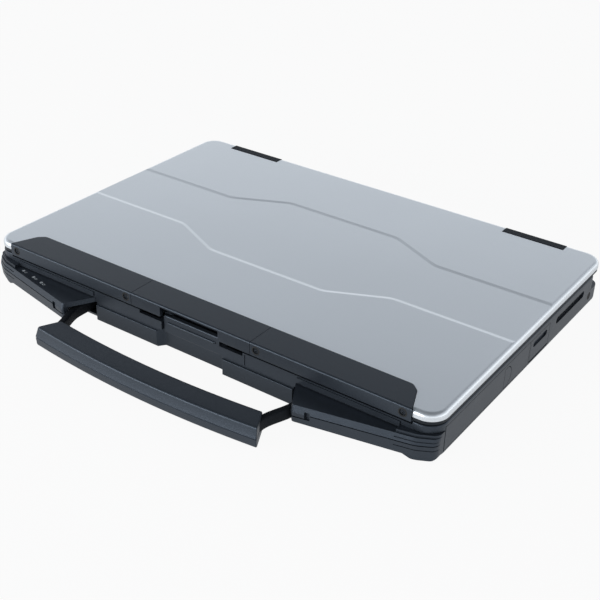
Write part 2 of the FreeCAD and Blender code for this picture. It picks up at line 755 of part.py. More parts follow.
def antenna_boards():
    """Two antenna circuits under the outer antenna covers."""
    front = STRIP_WALL + ANTENNA_WALL_GAP
    top = COVER_BOTTOM + ANTENNA_THICKNESS
    return both_sides(
        box(ANTENNA_X, front, COVER_BOTTOM, ANTENNA_X + ANTENNA_LENGTH, front + ANTENNA_DEPTH, top),
    )


def camera_module():
    """Camera board with its lens through the bezel."""
    half = CAMERA_WIDTH / 2
    rear = CAMERA_Y + CAMERA_DEPTH / 2
    board = box(
        -half, CAMERA_Y - CAMERA_DEPTH / 2, COVER_BOTTOM, half, rear, COVER_BOTTOM + BOARD_THICKNESS,
    )
    lens_end = LID_BOTTOM + SHUTTER_THICKNESS + 2 * SEAM
    return join(board, rod(LENS_RADIUS, (0, CAMERA_Y, lens_end), (0, CAMERA_Y, COVER_BOTTOM)))


def camera_shutter():
    """Sliding privacy cover, drawn open beside the lens."""
    start = -SHUTTER_LENGTH / 2 + SHUTTER_TRAVEL
    half = SHUTTER_WIDTH / 2
    slider = box(
        start, CAMERA_Y - half, LID_BOTTOM, start + SHUTTER_LENGTH, CAMERA_Y + half,
        LID_BOTTOM + SHUTTER_THICKNESS,
    )
    nub_x = start + SHUTTER_LENGTH / 2
    nub_half = SHUTTER_NUB_LENGTH / 2
    nub_side = SHUTTER_NUB_WIDTH / 2
    nub = box(
        nub_x - nub_half, CAMERA_Y - nub_side, LID_BOTTOM - SHUTTER_NUB_HEIGHT,
        nub_x + nub_half, CAMERA_Y + nub_side, LID_BOTTOM,
    )
    return join(slider, nub)


# Hinges
def hinge_cap():
    """Black cap over the right hinge, flush with the lid."""
    front = LID_DEPTH - CAP_DEPTH
    rear = LID_DEPTH - CAP_REAR_INSET
    top = LID_TOP + CAP_PROUD
    section = [
        (front, top - CAP_THICKNESS, 0),
        (rear, top - CAP_THICKNESS, 0),
        (rear, top, CAP_REAR_RADIUS),
        (front, top, CAP_FRONT_RADIUS),
    ]
    return bar_along_x(section, HINGE_X, HINGE_X + HINGE_LENGTH)


def knuckle(start, end):
    """Hinge barrel on the hinge axis with its pin bore."""
    barrel = rod(KNUCKLE_RADIUS, (start, HINGE_Y, HINGE_Z), (end, HINGE_Y, HINGE_Z))
    bore_ends = (start - OVERRUN, HINGE_Y, HINGE_Z), (end + OVERRUN, HINGE_Y, HINGE_Z)
    return barrel, rod(PIN_RADIUS + PIN_FIT, *bore_ends)


def lid_knuckle_span():
    """Start and end of the lid's knuckle along X."""
    start = HINGE_X + (HINGE_LENGTH - LID_KNUCKLE_LENGTH) / 2
    return start, start + LID_KNUCKLE_LENGTH


def hinge_lid_leaf():
    """Leaf inside the lid with the middle knuckle."""
    start, end = lid_knuckle_span()
    barrel, bore = knuckle(start, end)
    top = SKIN_BOTTOM
    front = SCREEN_FRONT + SCREEN_DEPTH + SCREEN_LIP + LEAF_CLEARANCE
    leaf = box(
        HINGE_X + LEAF_END_GAP, front, top - LEAF_THICKNESS,
        HINGE_X + HINGE_LENGTH - LEAF_END_GAP, HINGE_Y, top,
    )
    web = box(start, HINGE_Y - KNUCKLE_RADIUS, HINGE_Z, end, HINGE_Y, top - LEAF_THICKNESS)
    return join(leaf, web, barrel).cut(bore)


def hinge_base_leaf():
    """Bracket on the base's rear ledge with the two outer knuckles."""
    inner_start, inner_end = lid_knuckle_span()
    rear = HINGE_Y
    front = HINGE_Y - BRACKET_THICKNESS
    foot = box(HINGE_X, front, PARTING_Z, HINGE_X + HINGE_LENGTH, rear, PARTING_Z + BRACKET_FOOT)
    pieces = [foot]
    bores = []
    for start, end in ((HINGE_X, inner_start - FIT_GAP), (inner_end + FIT_GAP, HINGE_X + HINGE_LENGTH)):
        barrel, bore = knuckle(start, end)
        pieces += [box(start, front, PARTING_Z, end, rear, HINGE_Z), barrel]
        bores.append(bore)
    return join(*pieces).cut(bores)


def hinge_pins():
    """The two hinge pins."""
    return both_sides(
        rod(PIN_RADIUS, (HINGE_X, HINGE_Y, HINGE_Z), (HINGE_X + HINGE_LENGTH, HINGE_Y, HINGE_Z)),
    )


# Openings that the two case halves share
def guard_notch():
    """Room for the corner blocks of the front guards."""
    return both_sides(box(GUARD_NOTCH_X, -FAR_OVERRUN, 0, HALF + FAR_OVERRUN, GUARD_NOTCH_Y, GUARD_NOTCH_Z))


def bay_mouth():
    """Mouths of the battery bay and the drive bay in the side walls."""
    return both_sides(
        box(
            HALF - CASE_WALL - OVERRUN, BAY_FRONT, BAY_BOTTOM,
            HALF + FAR_OVERRUN, BAY_REAR, BAY_TOP + FIT_GAP,
        ),
    )


def door_mouth():
    """Opening behind the port door, with the holes for its pins."""
    bottom = DOOR_PIVOT_Z - DOOR_THICKNESS / 2 - FIT_GAP
    mouth = box(
        HALF - CASE_WALL - OVERRUN, DOOR_FRONT - FIT_GAP, bottom,
        HALF + FAR_OVERRUN, DOOR_REAR + FIT_GAP, DOOR_TOP + FIT_GAP,
    )
    axis_x = HALF - DOOR_THICKNESS / 2
    reach = DOOR_PIN_LENGTH + FIT_GAP
    pin = rod(
        DOOR_PIN_RADIUS + PIN_FIT, (axis_x, DOOR_FRONT - reach, DOOR_PIVOT_Z),
        (axis_x, DOOR_REAR + reach, DOOR_PIVOT_Z),
    )
    return [mouth, pin]


def case_outline(rear, inset=0.0):
    """Plan of a case half that ends at the given rear edge."""
    half = HALF - inset
    front_radius = CORNER_RADIUS - inset
    rear_radius = CASE_REAR_RADIUS - inset
    return [(-half, inset, front_radius), (half, inset, front_radius),
            (half, rear - inset, rear_radius), (-half, rear - inset, rear_radius)]


def screw_places():
    """Plan positions of the board bosses, which take the case screws."""
    left = BOARD_LEFT + BOSS_INSET
    right = BOARD_RIGHT - BOSS_INSET
    middle = (left + right) / 2
    return [
        (x, y) for x in (left, middle, right)
        for y in (BOARD_FRONT + BOSS_INSET, BOARD_REAR - BOSS_INSET)
    ]


def upper_case():
    """Keyboard deck with the upper half of the side walls."""
    block = plate(case_outline(DECK_REAR), PARTING_Z, DECK_TOP)
    shell = round_level(block, DECK_EDGE_RADIUS, DECK_TOP)
    hollow = plate(case_outline(DECK_REAR, CASE_WALL), PARTING_Z - OVERRUN, DECK_BOTTOM)
    housing_half = LATCH_OPENING + LATCH_HOUSING_WALL
    housing_rear = LATCH_HOUSING_DEPTH + CASE_WALL
    housing = box(-housing_half, 0, PARTING_Z, housing_half, housing_rear, DECK_TOP)
    rail = box(
        EAR_INNER_REAR_X + RAIL_PROUD, -RAIL_PROUD, RAIL_BOTTOM, CORNER_BLOCK_X - FIT_GAP, CASE_WALL,
        RAIL_TOP,
    )
    shell = join(shell.cut(hollow), housing, rail, mirror(rail))
    step_half = STRIP_FRONT_HALF + 2 * FIT_GAP
    above = DECK_TOP + FAR_OVERRUN
    step = box(-step_half, -FAR_OVERRUN, STRIP_BOTTOM - STRIP_SHADOW, step_half, CASE_FRONT_STEP, above)
    rim = box(
        -RIM_NOTCH_HALF, -FAR_OVERRUN, DECK_TOP - RIM_NOTCH_DROP,
        RIM_NOTCH_HALF, CASE_WALL + FAR_OVERRUN, above,
    )
    latch = box(-LATCH_OPENING, -FAR_OVERRUN, 0, LATCH_OPENING, LATCH_HOUSING_DEPTH, above)
    hook_front = housing_rear + SEAM
    slot_half = HOOK_HALF + HOOK_SLOT_GAP
    hook_rear = hook_front + HOOK_THICKNESS + 2 * HOOK_SLOT_GAP
    hook_slot = both_sides(
        box(
            HOOK_X - slot_half, hook_front, DECK_BOTTOM - OVERRUN,
            HOOK_X + slot_half, hook_rear, DECK_TOP + OVERRUN,
        ),
    )
    keys = plate(keyboard_outline(), DECK_BOTTOM - OVERRUN, DECK_TOP + OVERRUN)
    pad_half = TOUCHPAD_WIDTH / 2 + FIT_GAP
    pad_rear = TOUCHPAD_FRONT + TOUCHPAD_DEPTH + FIT_GAP
    pad_corner = TOUCHPAD_CORNER + FIT_GAP
    pad_outline = rectangle(-pad_half, PAD_BUTTON_FRONT - FIT_GAP, pad_half, pad_rear, pad_corner)
    pad = plate(pad_outline, DECK_BOTTOM - OVERRUN, DECK_TOP + OVERRUN)
    power = plate(power_outline(FIT_GAP), DECK_BOTTOM - OVERRUN, DECK_TOP + OVERRUN)
    vent = bar_along_x(vent_outline(0), HALF - CASE_WALL - OVERRUN, HALF + OVERRUN)
    panel_seam = box(
        PANEL_SEAM_X, -GROOVE_DEPTH, PARTING_Z, PANEL_SEAM_X + GROOVE_WIDTH, GROOVE_DEPTH, RAIL_TOP,
    )
    cuts = [step, rim, latch, panel_seam, hook_slot, latch_axle(PIN_FIT), keys, pad, power, vent]
    cuts += [guard_notch(), bay_mouth()] + door_mouth()
    return shell.cut(cuts)


def lower_case():
    """Bottom tray with its rear ledge, board bosses and handle guides."""
    shell = round_level(
        plate(case_outline(CASE_REAR), CASE_BOTTOM, PARTING_Z), CASE_BOTTOM_RADIUS, CASE_BOTTOM,
    )
    hollow = plate(case_outline(CASE_REAR, CASE_WALL), FLOOR_TOP, PARTING_Z + OVERRUN)
    ledge_half = HALF - CASE_REAR_RADIUS
    ledge = box(
        -ledge_half, DECK_REAR + SEAM, PARTING_Z - LEDGE_THICKNESS, ledge_half, CASE_REAR - ROOT,
        PARTING_Z,
    )
    root = FLOOR_TOP - ROOT
    bosses = [rod(BOSS_RADIUS, (x, y, root), (x, y, BOARD_Z)) for x, y in screw_places()]
    fan_feet = [
        rod(BOSS_RADIUS, (FAN_X + dx, FAN_Y + dy, root), (FAN_X + dx, FAN_Y + dy, FAN_BOTTOM))
        for dx in (-FAN_SIDE / 3, FAN_SIDE / 3)
        for dy in (-FAN_SIDE / 3, FAN_SIDE / 3)
    ]
    guide_rear = ARM_TAIL + HANDLE_TRAVEL + GUIDE_END_GAP
    guides = []
    for wall_x in (CHANNEL_INNER_X - GUIDE_WALL, CHANNEL_OUTER_X):
        guide = box(wall_x, CASE_WALL - ROOT, root, wall_x + GUIDE_WALL, guide_rear, ARM_TOP)
        guides += [guide, mirror(guide)]
    seat_half = SPEAKER_SEAT_WIDTH / 2
    seat = box(
        SPEAKER_X - SPEAKER_LENGTH / 2, SPEAKER_Y - seat_half, root,
        SPEAKER_X + SPEAKER_LENGTH / 2, SPEAKER_Y + seat_half, SPEAKER_SEAT,
    )
    seats = [mirror(seat), seat]
    runners = []
    for y in (BAY_FRONT + RUNNER_INSET, BAY_REAR - RUNNER_INSET - RUNNER_WIDTH):
        runner = box(PACK_INNER, y, root, HALF - CASE_WALL, y + RUNNER_WIDTH, BAY_BOTTOM)
        runners += [runner, mirror(runner)]
    housing_half = LATCH_OPENING + LATCH_HOUSING_WALL
    housing_rear = LATCH_HOUSING_DEPTH + CASE_WALL
    housing_bottom = CASE_BOTTOM + LATCH_HOUSING_INSET
    housing = box(-housing_half, LATCH_HOUSING_INSET, housing_bottom, housing_half, housing_rear, PARTING_Z)
    skirt_end = CHANNEL_INNER_X - FIT_GAP
    skirt = bar_along_x([
        (-SKIRT_PROUD, CASE_BOTTOM, SKIRT_EDGE),
        (SKIRT_REAR, CASE_BOTTOM, 0),
        (SKIRT_REAR, CASE_BOTTOM + SKIRT_FLOOR, 0),
        (CASE_WALL, CASE_BOTTOM + SKIRT_FLOOR, 0),
        (CASE_WALL, SKIRT_TOP, 0),
        (-SKIRT_PROUD, SKIRT_TOP, SKIRT_EDGE / 2),
    ], -skirt_end, skirt_end)
    shell = join(shell.cut(hollow), ledge, housing, skirt, *bosses, *fan_feet, *guides, *seats, *runners)
    flare = LATCH_OPENING + RECESS_FLARE
    recess = plate([
        (-flare, -FAR_OVERRUN, 0),
        (flare, -FAR_OVERRUN, 0),
        (LATCH_OPENING, RECESS_DEPTH, RECESS_RADIUS),
        (-LATCH_OPENING, RECESS_DEPTH, RECESS_RADIUS),
    ], 0, PARTING_Z + OVERRUN)
    latch = box(
        -LATCH_OPENING, -FAR_OVERRUN, LATCH_BOTTOM - LATCH_SWING_GAP,
        LATCH_OPENING, LATCH_HOUSING_DEPTH, PARTING_Z + OVERRUN,
    )
    channel = both_sides(
        box(
            CHANNEL_INNER_X, -FAR_OVERRUN, ARM_BOTTOM - FIT_GAP,
            CHANNEL_OUTER_X, CASE_WALL + OVERRUN, PARTING_Z + OVERRUN,
        ),
    )
    inlet = rod(
        INLET_RADIUS + SEAM,
        (-HALF - OVERRUN, INLET_Y, INLET_Z), (-HALF + CASE_WALL + OVERRUN, INLET_Y, INLET_Z),
    )
    plug = rod(
        PLUG_RADIUS + SEAM,
        (HALF - CASE_WALL - OVERRUN, PLUG_Y, PLUG_Z), (HALF + OVERRUN, PLUG_Y, PLUG_Z),
    )
    dock_half = DOCK_LENGTH / 2 + SEAM
    dock_side = DOCK_WIDTH / 2 + SEAM
    dock = box(-dock_half, DOCK_Y - dock_side, 0, dock_half, DOCK_Y + dock_side, FLOOR_TOP + OVERRUN)
    cover_half = REAR_COVER_LENGTH / 2 + SEAM
    rear_cut = box(
        -cover_half, CASE_REAR - REAR_COVER_THICKNESS, REAR_COVER_BOTTOM - SEAM,
        cover_half, CASE_REAR + OVERRUN, REAR_COVER_TOP + SEAM,
    )
    bores = []
    for x, y in screw_places():
        bores.append(rod(BOSS_BORE, (x, y, 0), (x, y, CASE_BOTTOM + SCREW_LENGTH + SCREW_END_GAP)))
        bores.append(rod(SCREW_HEAD_RADIUS + SEAM, (x, y, 0), (x, y, CASE_BOTTOM + SCREW_HEAD_HEIGHT)))
    cuts = [recess, latch, channel, inlet, plug, dock, rear_cut, guard_notch(), bay_mouth()]
    cuts += bores + door_mouth()
    return shell.cut(cuts)


# Front guards and handle
def ear_outline(grow):
    """Plan of the right guard, its front edge grown forward."""
    return [
        (EAR_INNER_REAR_X, -SEAM, 0),
        (EAR_INNER_FRONT_X, -EAR_FRONT - grow, EAR_TIP_RADIUS),
        (EAR_OUTER_X, -EAR_OUTER_FRONT - grow, EAR_CORNER_RADIUS),
        (HALF, EAR_SIDE_Y - grow, EAR_SIDE_RADIUS),
        (HALF, GUARD_NOTCH_Y - SEAM, 0),
        (GUARD_NOTCH_X + SEAM, GUARD_NOTCH_Y - SEAM, 0),
        (GUARD_NOTCH_X + SEAM, -SEAM, 0),
    ]


def ear_underside(x, y):
    """Point of the guard's underside, which falls towards the corner."""
    share = (x - EAR_INNER_FRONT_X) / (HALF - EAR_INNER_FRONT_X)
    return Vector(x, y, EAR_BOTTOM - EAR_FALL * share)


def guard_groove(start, z):
    """Cutter for a level groove round the guard's front, from an X to the corner."""
    bottom = z - GROOVE_WIDTH / 2
    top = z + GROOVE_WIDTH / 2
    band = box(start, -2 * EAR_FRONT, bottom, HALF + EAR_DRAFT, GUARD_NOTCH_Y - SEAM, top)
    return band.cut(plate(ear_outline(GROOVE_DRAFT - GROOVE_DEPTH), bottom - OVERRUN, top + OVERRUN))


def guard_tab():
    """Cutters for the gap beside and under the small tab at the guard's inner end."""
    front = -EAR_FRONT - EAR_DRAFT
    slant = (EAR_FRONT - EAR_OUTER_FRONT) / (EAR_OUTER_X - EAR_INNER_FRONT_X)
    rear = front + slant * (TAB_START - EAR_INNER_FRONT_X) + TAB_DEPTH
    beside = box(TAB_START, 2 * front, TAB_BOTTOM, TAB_END, rear, TAB_TOP)
    line_rear = rear - TAB_LINE_RISE
    under = box(EAR_INNER_FRONT_X, 2 * front, TAB_BOTTOM, TAB_END, line_rear, TAB_BOTTOM + TAB_LINE)
    return [beside, under]


def corner_heel():
    """Foot of the right guard's corner, which comes down from the underside on a slope."""
    profile = [
        (CORNER_BLOCK_X, EAR_BOTTOM, 0),
        (CORNER_BLOCK_X + HEEL_RUN, HEEL_BOTTOM, HEEL_RADIUS),
        (HALF, HEEL_BOTTOM, HEEL_RADIUS),
        (HALF, EAR_MIDDLE, 0),
        (CORNER_BLOCK_X, EAR_MIDDLE, 0),
    ]
    wire = closed_wire(profile, lambda x, z: Vector(x, -EAR_FRONT, z))
    slab = Part.Face(wire).extrude(Vector(0, EAR_FRONT + GUARD_NOTCH_Y, 0))
    return slab.common(plate(ear_outline(-CORNER_BLOCK_INSET), CASE_BOTTOM, EAR_MIDDLE))


def front_guard():
    """Right front guard: a shelf beside the handle and a block round the base's corner."""
    shelf = Part.makeLoft([
        closed_wire(ear_outline(EAR_BOTTOM_GROW), ear_underside),
        level_wire(ear_outline(EAR_DRAFT), EAR_MIDDLE),
        level_wire(ear_outline(0), EAR_TOP),
    ], True, True)
    block = plate(ear_outline(-CORNER_BLOCK_INSET), EAR_MIDDLE, GUARD_NOTCH_Z - FIT_GAP).common(
        box(CORNER_BLOCK_X, -EAR_FRONT, 0, HALF + OVERRUN, GUARD_NOTCH_Y, CLOSED_HEIGHT),
    )
    channel_start = CHANNEL_INNER_X - FAR_OVERRUN
    mouth = CHANNEL_OUTER_X - CHANNEL_MOUTH_INSET
    beyond = EAR_FRONT + 2 * FAR_OVERRUN
    channel = plate([
        (channel_start, GUARD_NOTCH_Y, 0),
        (channel_start, -beyond, 0),
        (mouth, -beyond, 0),
        (mouth, -CHANNEL_MOUTH_FRONT, 0),
        (CHANNEL_OUTER_X, -CHANNEL_MOUTH_REAR, 0),
        (CHANNEL_OUTER_X, GUARD_NOTCH_Y, 0),
    ], 0, PARTING_Z)
    lamps = [
        rod(LAMP_RADIUS + SEAM, (x, y, EAR_TOP - LAMP_HEIGHT), (x, y, EAR_TOP + OVERRUN))
        for x, y in LAMP_PLACES
    ]
    grooves = [guard_groove(TAB_END, EAR_MIDDLE)]
    grooves += [guard_groove(CORNER_BLOCK_X, z) for z in CORNER_GROOVES]
    guard = join(shelf, block, corner_heel()).cut([channel] + grooves + guard_tab())
    return guard, mirror(guard).cut(lamps)


def indicator_lenses():
    """Light windows on the left guard."""
    return Part.makeCompound(
        [rod(LAMP_RADIUS, (x, y, EAR_TOP - LAMP_HEIGHT), (x, y, EAR_TOP))
        for x, y in LAMP_PLACES]
    )


def grip_wire(z, bulge):
    """Outline of the grip at one height, its front grown by a bulge."""
    front_end = -HANDLE_REACH + GRIP_BOW + GRIP_BULGE - bulge
    front_middle = -HANDLE_REACH + GRIP_BULGE - bulge
    rear_end = -GRIP_REAR
    front = Part.Arc(
        Vector(-GRIP_HALF_FRONT, front_end, z), Vector(0, front_middle, z),
        Vector(GRIP_HALF_FRONT, front_end, z),
    )
    rear = Part.Arc(
        Vector(GRIP_HALF_REAR, rear_end, z), Vector(0, rear_end - GRIP_REAR_BOW, z),
        Vector(-GRIP_HALF_REAR, rear_end, z),
    )
    right = Part.makeLine(Vector(GRIP_HALF_FRONT, front_end, z), Vector(GRIP_HALF_REAR, rear_end, z))
    left = Part.makeLine(Vector(-GRIP_HALF_REAR, rear_end, z), Vector(-GRIP_HALF_FRONT, front_end, z))
    return Part.Wire([front.toShape(), right, rear.toShape(), left])


def arm_outline(grow):
    """Plan of the right arm, an S from the grip into its channel, grown all round."""
    half = ARM_THICKNESS / 2 + grow
    tongue_x = GRIP_HALF_REAR - TONGUE_LENGTH
    tongue_y = -GRIP_REAR - TONGUE_REACH
    elbow_x = GRIP_HALF_REAR + ARM_ELBOW_OFFSET
    return [
        (ARM_X - half, ARM_TAIL, ARM_TAIL_RADIUS),
        (ARM_X - half, -ARM_INNER_BEND, ARM_BEND_RADIUS),
        (elbow_x - half + ARM_NECK_SWAY, -GRIP_REAR + ARM_NECK_LENGTH, ARM_NECK_RADIUS),
        (elbow_x - half, -GRIP_REAR - ARM_INNER_ELBOW, ARM_ELBOW_RADIUS),
        (tongue_x, tongue_y + half, 0),
        (tongue_x, tongue_y - half, 0),
        (elbow_x + ARM_ELBOW_OFFSET, tongue_y - half, ARM_HEEL_RADIUS),
        (elbow_x + half - ARM_OUTER_DRAW, -GRIP_REAR - ARM_OUTER_ELBOW, ARM_ELBOW_RADIUS),
        (ARM_X + half, -ARM_OUTER_BEND, ARM_BEND_RADIUS),
        (ARM_X + half, ARM_TAIL, ARM_TAIL_RADIUS),
    ]


def handle_arm():
    """Right arm of the handle, stepped to a thinner tongue inside the grip."""
    blade = plate(arm_outline(0), ARM_BOTTOM, ARM_TOP)
    inside = box(0, -HANDLE_REACH, ARM_TONGUE_TOP, ARM_X, -GRIP_REAR + FIT_GAP, ARM_TOP + OVERRUN)
    return blade.cut(inside)


def grip_screw_places():
    """Plan positions of the grip's screws."""
    return [(x, -GRIP_REAR - depth) for x, depth in GRIP_SCREW_PLACES]


def grip_shells():
    """Upper and lower shell of the handle's grip."""
    upper = Part.makeLoft([grip_wire(GRIP_PARTING, GRIP_BULGE), grip_wire(GRIP_TOP, 0)], True, True)
    lower = Part.makeLoft(
        [grip_wire(GRIP_BOTTOM, GRIP_BULGE), grip_wire(GRIP_PARTING, GRIP_BULGE)], True, True,
    )
    upper = round_level(upper, GRIP_EDGE_RADIUS, GRIP_TOP)
    lower = round_level(lower, GRIP_EDGE_RADIUS, GRIP_BOTTOM)
    socket = plate(arm_outline(SEAM), ARM_BOTTOM - SEAM, ARM_TONGUE_TOP + SEAM)
    holes = []
    for x, y in grip_screw_places():
        hole = rod(GRIP_SCREW_RADIUS + SEAM, (x, y, 0), (x, y, GRIP_BOTTOM + GRIP_SCREW_LENGTH))
        holes += [hole, mirror(hole)]
    sockets = [socket, mirror(socket)]
    return upper.cut(sockets), lower.cut(sockets + holes)


def handle_screws():
    """Screws in the underside of the grip."""
    bottom = GRIP_BOTTOM + FIT_GAP
    top = GRIP_BOTTOM + GRIP_SCREW_LENGTH
    screws = [rod(GRIP_SCREW_RADIUS, (x, y, bottom), (x, y, top)) for x, y in grip_screw_places()]
    return Part.makeCompound(screws + [mirror(screw) for screw in screws])


# Latch
def latch_axle(fit):
    """Pin of the latch lever, or its bore when grown by a fit."""
    reach = LATCH_OPENING + LATCH_HOUSING_WALL - LATCH_PIN_INSET
    start = (-reach, LATCH_PIVOT_Y, LATCH_PIVOT_Z)
    return rod(LATCH_PIN_RADIUS + fit, start, (reach, LATCH_PIVOT_Y, LATCH_PIVOT_Z))


def latch_lever():
    """Front latch lever with a rib across it and a boss round its pin."""
    rear = LATCH_FRONT + LATCH_THICKNESS
    section = [
        (LATCH_FRONT, LATCH_BOTTOM, LATCH_LOWER_RADIUS),
        (rear, LATCH_BOTTOM, 0),
        (rear, LATCH_TOP, 0),
        (LATCH_FRONT, LATCH_TOP, LATCH_UPPER_RADIUS),
    ]
    panel = bar_along_x(section, -LATCH_HALF, LATCH_HALF)
    rib_half = LATCH_HALF - LATCH_RIB_INSET
    half_height = LATCH_RIB_HEIGHT / 2
    rib = bar_along_x([
        (LATCH_FRONT - LATCH_RIB_PROUD, LATCH_RIB_Z - half_height, half_height / 2),
        (LATCH_FRONT + LATCH_RIB_PROUD, LATCH_RIB_Z - half_height, 0),
        (LATCH_FRONT + LATCH_RIB_PROUD, LATCH_RIB_Z + half_height, 0),
        (LATCH_FRONT - LATCH_RIB_PROUD, LATCH_RIB_Z + half_height, half_height / 2),
    ], -rib_half, rib_half)
    boss = rod(
        LATCH_BOSS_RADIUS, (-LATCH_HALF, LATCH_PIVOT_Y, LATCH_PIVOT_Z),
        (LATCH_HALF, LATCH_PIVOT_Y, LATCH_PIVOT_Z),
    )
    return join(panel, rib, boss).cut(latch_axle(PIN_FIT))


def latch_pin():
    """Pin that the latch lever turns on."""
    return latch_axle(0)


def latch_hooks():
    """Pair of steel catches under the lid that drop into the deck."""
    front = LATCH_HOUSING_DEPTH + CASE_WALL + SEAM + HOOK_SLOT_GAP
    rear = front + HOOK_THICKNESS
    return both_sides(
        box(HOOK_X - HOOK_HALF, front, DECK_TOP - HOOK_DROP, HOOK_X + HOOK_HALF, rear, LID_BOTTOM),
    )


# Keyboard
def key_places():
    """Row, column, centre and size of every key, row 0 nearest the user."""
    places = []
    left = -KEYBOARD_HALF + KEYBOARD_BORDER
    rows = [(widths, KEY_ROW_PITCH) for widths in KEY_ROWS]
    rows.append(((sum(KEY_ROWS[0]) / TOP_ROW_KEYS,) * TOP_ROW_KEYS, KEY_TOP_ROW_PITCH))
    front = KEYBOARD_FRONT + KEYBOARD_BORDER
    for row, (widths, pitch) in enumerate(rows):
        x = left
        for column, units in enumerate(widths):
            width = units * KEY_PITCH
            places.append((row, column, x + width / 2, front + pitch / 2, width - KEY_GAP, pitch - KEY_GAP))
            x += width
        front += pitch
    return places


def keycap(x, y, width, depth):
    """Tapered keycap with a stem under it."""
    def outline(inset):
        return rectangle(
            x - width / 2 + inset, y - depth / 2 + inset, x + width / 2 - inset, y + depth / 2 - inset,
            KEY_RADIUS,
        )
    cap = Part.makeLoft(
        [level_wire(outline(0), KEY_BOTTOM), level_wire(outline(KEY_TAPER), KEY_TOP)], True, True,
    )
    stem = rod(KEY_STEM_RADIUS, (x, y, TRAY_BOTTOM + SEAM), (x, y, KEY_BOTTOM + KEY_STEM_ROOT))
    return cap.fuse(stem)


def keys():
    """All keycaps in one group, and the space bar by itself."""
    caps = []
    space = None
    for row, column, x, y, width, depth in key_places():
        cap = keycap(x, y, width, depth)
        if (row, column) == (SPACE_ROW, SPACE_COLUMN):
            space = cap
        else:
            caps.append(cap)
    return Part.makeCompound(caps), space


def keyboard_outline():
    """Plan of the opening that the keys stand in."""
    return rectangle(-KEYBOARD_HALF, KEYBOARD_FRONT, KEYBOARD_HALF, KEYBOARD_REAR, KEYBOARD_CORNER)


def keyboard_tray():
    """Keyboard base plate with a rim up to the deck and a hole for each stem."""
    half = KEYBOARD_HALF + TRAY_RIM
    front = KEYBOARD_FRONT - TRAY_RIM
    rear = KEYBOARD_REAR + TRAY_RIM
    tray = plate(rectangle(-half, front, half, rear, TRAY_CORNER), TRAY_BOTTOM, DECK_BOTTOM)
    well = plate(keyboard_outline(), TRAY_TOP, DECK_BOTTOM + OVERRUN)
    holes = [
        rod(KEY_STEM_RADIUS + FIT_GAP, (x, y, TRAY_BOTTOM - OVERRUN), (x, y, TRAY_TOP + OVERRUN))
        for _, _, x, y, _, _ in key_places()
    ]
    return tray.cut([well] + holes)


# Touchpad and deck buttons
def touchpad():
    """Touchpad plate with a flange under the deck."""
    half = TOUCHPAD_WIDTH / 2
    rear = TOUCHPAD_FRONT + TOUCHPAD_DEPTH
    top = plate(
        rectangle(-half, TOUCHPAD_FRONT, half, rear, TOUCHPAD_CORNER), DECK_BOTTOM - TOUCHPAD_THICKNESS,
        DECK_TOP - TOUCHPAD_SINK,
    )
    lip = TOUCHPAD_FLANGE
    edge = rectangle(-half - lip, PAD_BUTTON_FRONT - lip, half + lip, rear + lip, TOUCHPAD_CORNER)
    rim_bottom = DECK_BOTTOM - TOUCHPAD_THICKNESS
    flange = plate(edge, rim_bottom - TOUCHPAD_THICKNESS, rim_bottom)
    rim = plate(edge, rim_bottom, DECK_BOTTOM)
    well = half + PAD_BUTTON_WELL
    hole = plate(
        rectangle(-well, PAD_BUTTON_FRONT - PAD_BUTTON_WELL, well, TOUCHPAD_FRONT, TOUCHPAD_CORNER),
        rim_bottom, DECK_BOTTOM,
    )
    return join(top, flange, rim.cut(hole))


def touchpad_button():
    """Right touchpad button."""
    half = TOUCHPAD_WIDTH / 2
    bottom = DECK_BOTTOM - TOUCHPAD_THICKNESS + PAD_BUTTON_TRAVEL + FIT_GAP
    outline = rectangle(FIT_GAP, PAD_BUTTON_FRONT, half, TOUCHPAD_FRONT - FIT_GAP, TOUCHPAD_CORNER)
    top = DECK_TOP - FIT_GAP
    return round_level(plate(outline, bottom, top), PAD_BUTTON_EDGE, top)


def power_outline(grow):
    """Plan of the power button."""
    x_half = POWER_LENGTH / 2 + grow
    y_half = POWER_DEPTH / 2 + grow
    radius = y_half * ROUND_END
    return rectangle(POWER_X - x_half, POWER_Y - y_half, POWER_X + x_half, POWER_Y + y_half, radius)


def power_button():
    """Power button in the deck."""
    return plate(power_outline(0), DECK_BOTTOM - POWER_STEM, DECK_TOP - FIT_GAP)


# Side bays and doors
def pack_body():
    """Battery or drive module: a block with a face that fills the bay's mouth."""
    front = BAY_FRONT + FIT_GAP
    rear = BAY_REAR - FIT_GAP
    body = box(PACK_INNER, front, BAY_BOTTOM + FIT_GAP, HALF - PACK_FACE, rear, PACK_TOP)
    face = box(HALF - PACK_FACE, front, BAY_BOTTOM + FIT_GAP, HALF, rear, BAY_TOP)
    return join(body, face)


def lock_outline(grow):
    """Upright D of the battery's release button, round towards the rear and grown all round."""
    half = LOCK_HEIGHT / 2 + grow
    return [
        (LOCK_FRONT - grow, LOCK_Z - half, LOCK_FRONT_RADIUS),
        (LOCK_REAR + grow, LOCK_Z - half, LOCK_REAR_RADIUS),
        (LOCK_REAR + grow, LOCK_Z + half, LOCK_REAR_RADIUS),
        (LOCK_FRONT - grow, LOCK_Z + half, LOCK_FRONT_RADIUS),
    ]


def battery_pack():
    """Battery pack in the right bay, with the well that its release button is pressed into."""
    depth = LOCK_THICKNESS + LOCK_TRAVEL + FIT_GAP
    return pack_body().cut(bar_along_x(lock_outline(FIT_GAP), HALF - depth, HALF + OVERRUN))


def battery_lock():
    """Release button of the battery, flush with its face."""
    return bar_along_x(lock_outline(0), HALF - LOCK_THICKNESS, HALF)


